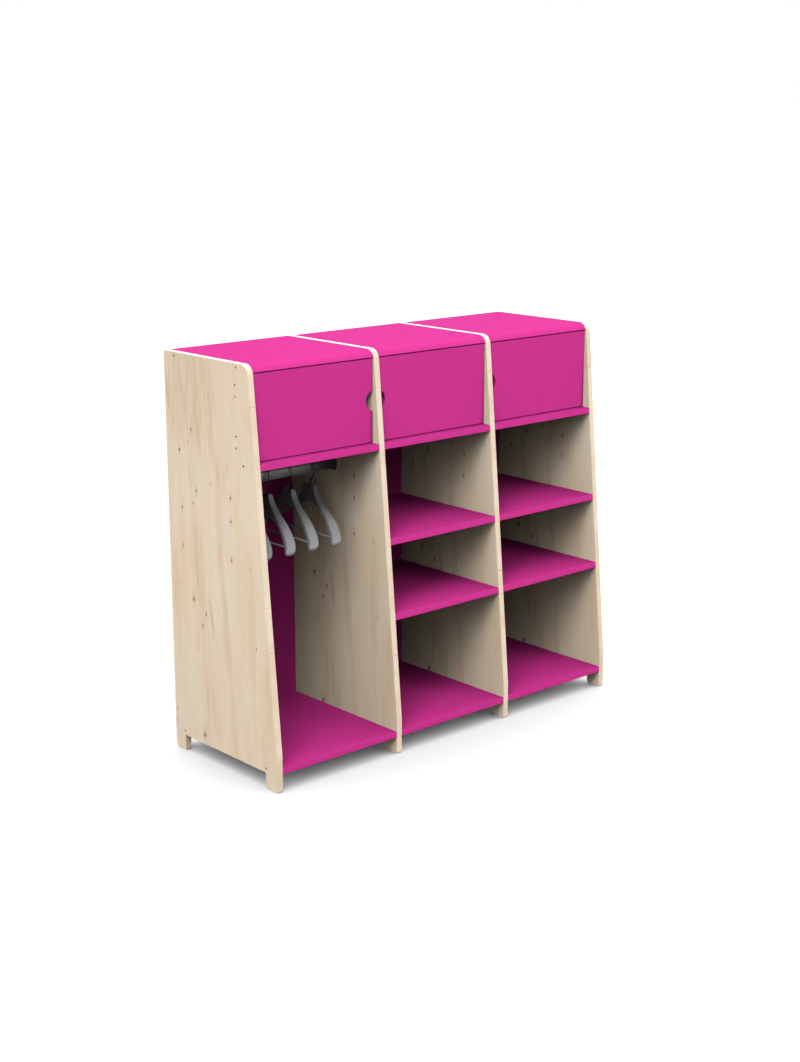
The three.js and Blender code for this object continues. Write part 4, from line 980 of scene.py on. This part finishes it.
def add_hanger(number):
    body = f"hanger_body_{number}"
    hook_body = f"hook_{number}"
    hook_low, hook_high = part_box(f"hanger_hook_{number}")
    rail_low, rail_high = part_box("hanging_rail")
    head_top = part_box(f"hanger_{number}")[1].z
    head_middle = head_top - HANGER_SLICE_SHARES[0][1] * HANGER_DROP
    x = (hook_low.x + hook_high.x) / 2
    y = (rail_low.y + rail_high.y) / 2

    mesh = hanger_mesh(f"hanger_form_{number}")
    at_head = Matrix.Translation((x, y, head_top))
    hanger = finish_piece(mesh, f"hanger_form_{number}", body, hanger_plastic, at_head)
    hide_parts(f"hanger_{number}")

    at_bar = pointing((x - TROUSER_BAR_SWEEP, y, head_top + TROUSER_BAR_HEIGHT - HANGER_DROP), (0, 1, 0))
    reach = TROUSER_BAR_REACH
    bar = along_y(f"trouser_bar_{number}", TROUSER_BAR_RADIUS, -reach, reach, BAR_END_INSET)
    finish_piece(bar, f"trouser_bar_{number}", body, hanger_plastic, at_bar)
    for end, way in (("front", -1), ("back", 1)):
        low = way * (reach - BAR_CLIP_INSET) - BAR_CLIP_LENGTH / 2
        high = low + BAR_CLIP_LENGTH
        clip = along_y(f"bar_clip_{number}_{end}", BAR_CLIP_RADIUS, low, high, CLIP_END_INSET)
        finish_piece(clip, f"bar_clip_{number}_{end}", body, clip_plastic, at_bar)

    route = hook_route(head_top, hook_high.z - WIRE_RADIUS, y, head_middle)
    wire = planar_tube(f"hook_form_{number}", route, WIRE_RADIUS)
    at_hook = Matrix.Translation((x, 0, 0))
    hook = finish_piece(wire, f"hook_form_{number}", hook_body, hook_wire, at_hook)
    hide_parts(f"hanger_hook_{number}")
    button = turned(f"hook_button_{number}", [
        (HOOK_BUTTON_RADIUS * 0.8, -HOOK_BUTTON_HEIGHT, 0),
        (HOOK_BUTTON_RADIUS, BUTTON_LOWER_BREAK - HOOK_BUTTON_HEIGHT, 0),
        (HOOK_BUTTON_RADIUS, -BUTTON_UPPER_BREAK, 0), (HOOK_BUTTON_RADIUS * 0.9, 0, 0),
    ])
    under_roof = Matrix.Translation((x, y, head_middle - HANGER_HEAD_ROOF - HOOK_SEAT_GAP))
    finish_piece(button, f"hook_button_{number}", hook_body, hook_wire, under_roof)


for hanger_number in (1, 2, 3, 4):
    add_hanger(hanger_number)


# Floor, light and background
FLOOR_SIZE = 30.0
SKY_UPPER = 0.385
SKY_LOWER = 0.05
FLOOR_BRIGHTNESS = 1.6
SKY_FADE_LOW = -0.01
SKY_FADE_HIGH = 0.25
LIGHT_DISTANCE = 10.0
BOUNCE_REACH = 0.7
BOUNCE_BRIGHTNESS = 0.45
BOUNCE_DEPTH = 0.01
LIGHT_AIM = Vector((0.0, 0.0, 0.6))

# Lights [name, azimuth, elevation, half width, half height, brightness, seen in gloss], angles in degrees
SOFTBOXES = [
    ("key_light", -50, 50, 14.0, 11.0, 8.75, True),
    ("front_light", -45, 33, 12.0, 8.0, 2.40, True),
    ("left_light", -75, 28, 14.0, 11.0, 2.60, True),
    ("left_low_light", -100, 8, 14.0, 11.0, 3.00, True),
    ("low_light", -47, 13, 14.0, 17.0, 0.78, True),
    ("right_light", 25, 8, 14.0, 11.0, 7.88, True),
    ("back_light", 112, 40, 35.0, 25.0, 2.78, False),
]


def add_floor():
    """A floor that only the sky lights, so that it fades to shade under the wardrobe alone.

    It is brighter than white, to make up for the dim sky.
    """
    work = bmesh.new()
    bmesh.ops.create_grid(work, x_segments=1, y_segments=1, size=FLOOR_SIZE)
    mesh = bpy.data.meshes.new("floor")
    work.to_mesh(mesh)
    work.free()
    floor = bpy.data.objects.new("floor", mesh)
    scene.collection.objects.link(floor)
    floor.visible_shadow = False
    floor.visible_glossy = False
    material = bpy.data.materials.new("floor_paper")
    material.use_nodes = True
    tree = material.node_tree
    tree.nodes.clear()
    matte = tree.nodes.new("ShaderNodeBsdfDiffuse")
    level = FLOOR_BRIGHTNESS / SKY_UPPER
    matte.inputs["Color"].default_value = (level, level, level, 1.0)
    output = tree.nodes.new("ShaderNodeOutputMaterial")
    tree.links.new(matte.outputs[0], output.inputs["Surface"])
    paint(floor, material)
    floor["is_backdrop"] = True
    return floor


def add_sky():
    """A dome that dims towards the horizon and below it, and which the camera sees as plain white."""
    world = bpy.data.worlds.new("studio")
    world.use_nodes = True
    scene.world = world
    tree = world.node_tree
    tree.nodes.clear()
    output = tree.nodes.new("ShaderNodeOutputWorld")
    lit = tree.nodes.new("ShaderNodeBackground")
    seen = tree.nodes.new("ShaderNodeBackground")
    chosen = tree.nodes.new("ShaderNodeMixShader")
    path = tree.nodes.new("ShaderNodeLightPath")
    place = tree.nodes.new("ShaderNodeTexCoord")
    parts = tree.nodes.new("ShaderNodeSeparateXYZ")
    level = tree.nodes.new("ShaderNodeMapRange")
    level.inputs["From Min"].default_value = SKY_FADE_LOW
    level.inputs["From Max"].default_value = SKY_FADE_HIGH
    level.inputs["To Min"].default_value = SKY_LOWER
    level.inputs["To Max"].default_value = SKY_UPPER
    join = tree.links.new
    join(place.outputs["Generated"], parts.inputs[0])
    join(parts.outputs["Z"], level.inputs["Value"])
    join(level.outputs["Result"], lit.inputs["Strength"])
    join(path.outputs["Is Camera Ray"], chosen.inputs[0])
    join(lit.outputs[0], chosen.inputs[1])
    join(seen.outputs[0], chosen.inputs[2])
    join(chosen.outputs[0], output.inputs["Surface"])
    lit.inputs["Color"].default_value = (1.0, 1.0, 1.0, 1.0)
    seen.inputs["Color"].default_value = (1.0, 1.0, 1.0, 1.0)
    seen.inputs["Strength"].default_value = 1.0


def add_area_light(name, width, height, brightness, place, turn, in_gloss, unlit):
    """A light of an even brightness that leaves out the pieces of the collection named unlit."""
    data = bpy.data.lights.new(name, "AREA")
    data.shape = "RECTANGLE"
    data.size = width
    data.size_y = height
    data.energy = brightness * math.pi * data.size * data.size_y
    light = bpy.data.objects.new(name, data)
    light.location = place
    light.rotation_euler = turn
    light.visible_glossy = in_gloss
    light.light_linking.receiver_collection = unlit
    scene.collection.objects.link(light)


def add_softbox(name, azimuth, elevation, half_width, half_height, brightness, in_gloss, unlit):
    away = bearing(math.radians(azimuth), math.radians(elevation))
    width = 2 * LIGHT_DISTANCE * math.tan(math.radians(half_width))
    height = 2 * LIGHT_DISTANCE * math.tan(math.radians(half_height))
    place = LIGHT_AIM + LIGHT_DISTANCE * away
    turn = away.to_track_quat("Z", "Y").to_euler()
    add_area_light(name, width, height, brightness, place, turn, in_gloss, unlit)


def add_bounce_light(unlit):
    """Light thrown up by the floor around the wardrobe, from just below it, which is strongest low down."""
    low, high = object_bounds()
    width = high[0] - low[0] + 2 * BOUNCE_REACH
    depth = high[1] - low[1] + 2 * BOUNCE_REACH
    place = ((low[0] + high[0]) / 2, (low[1] + high[1]) / 2, -BOUNCE_DEPTH)
    facing_up = (math.pi, 0, 0)
    add_area_light("bounce_light", width, depth, BOUNCE_BRIGHTNESS, place, facing_up, False, unlit)


def add_lights(floor):
    unlit = bpy.data.collections.new("lit_by_sky_alone")
    unlit.objects.link(floor)
    unlit.collection_objects[0].light_linking.link_state = "EXCLUDE"
    for softbox in SOFTBOXES:
        add_softbox(*softbox, unlit)
    add_bounce_light(unlit)


add_camera()
add_sky()
add_lights(add_floor())
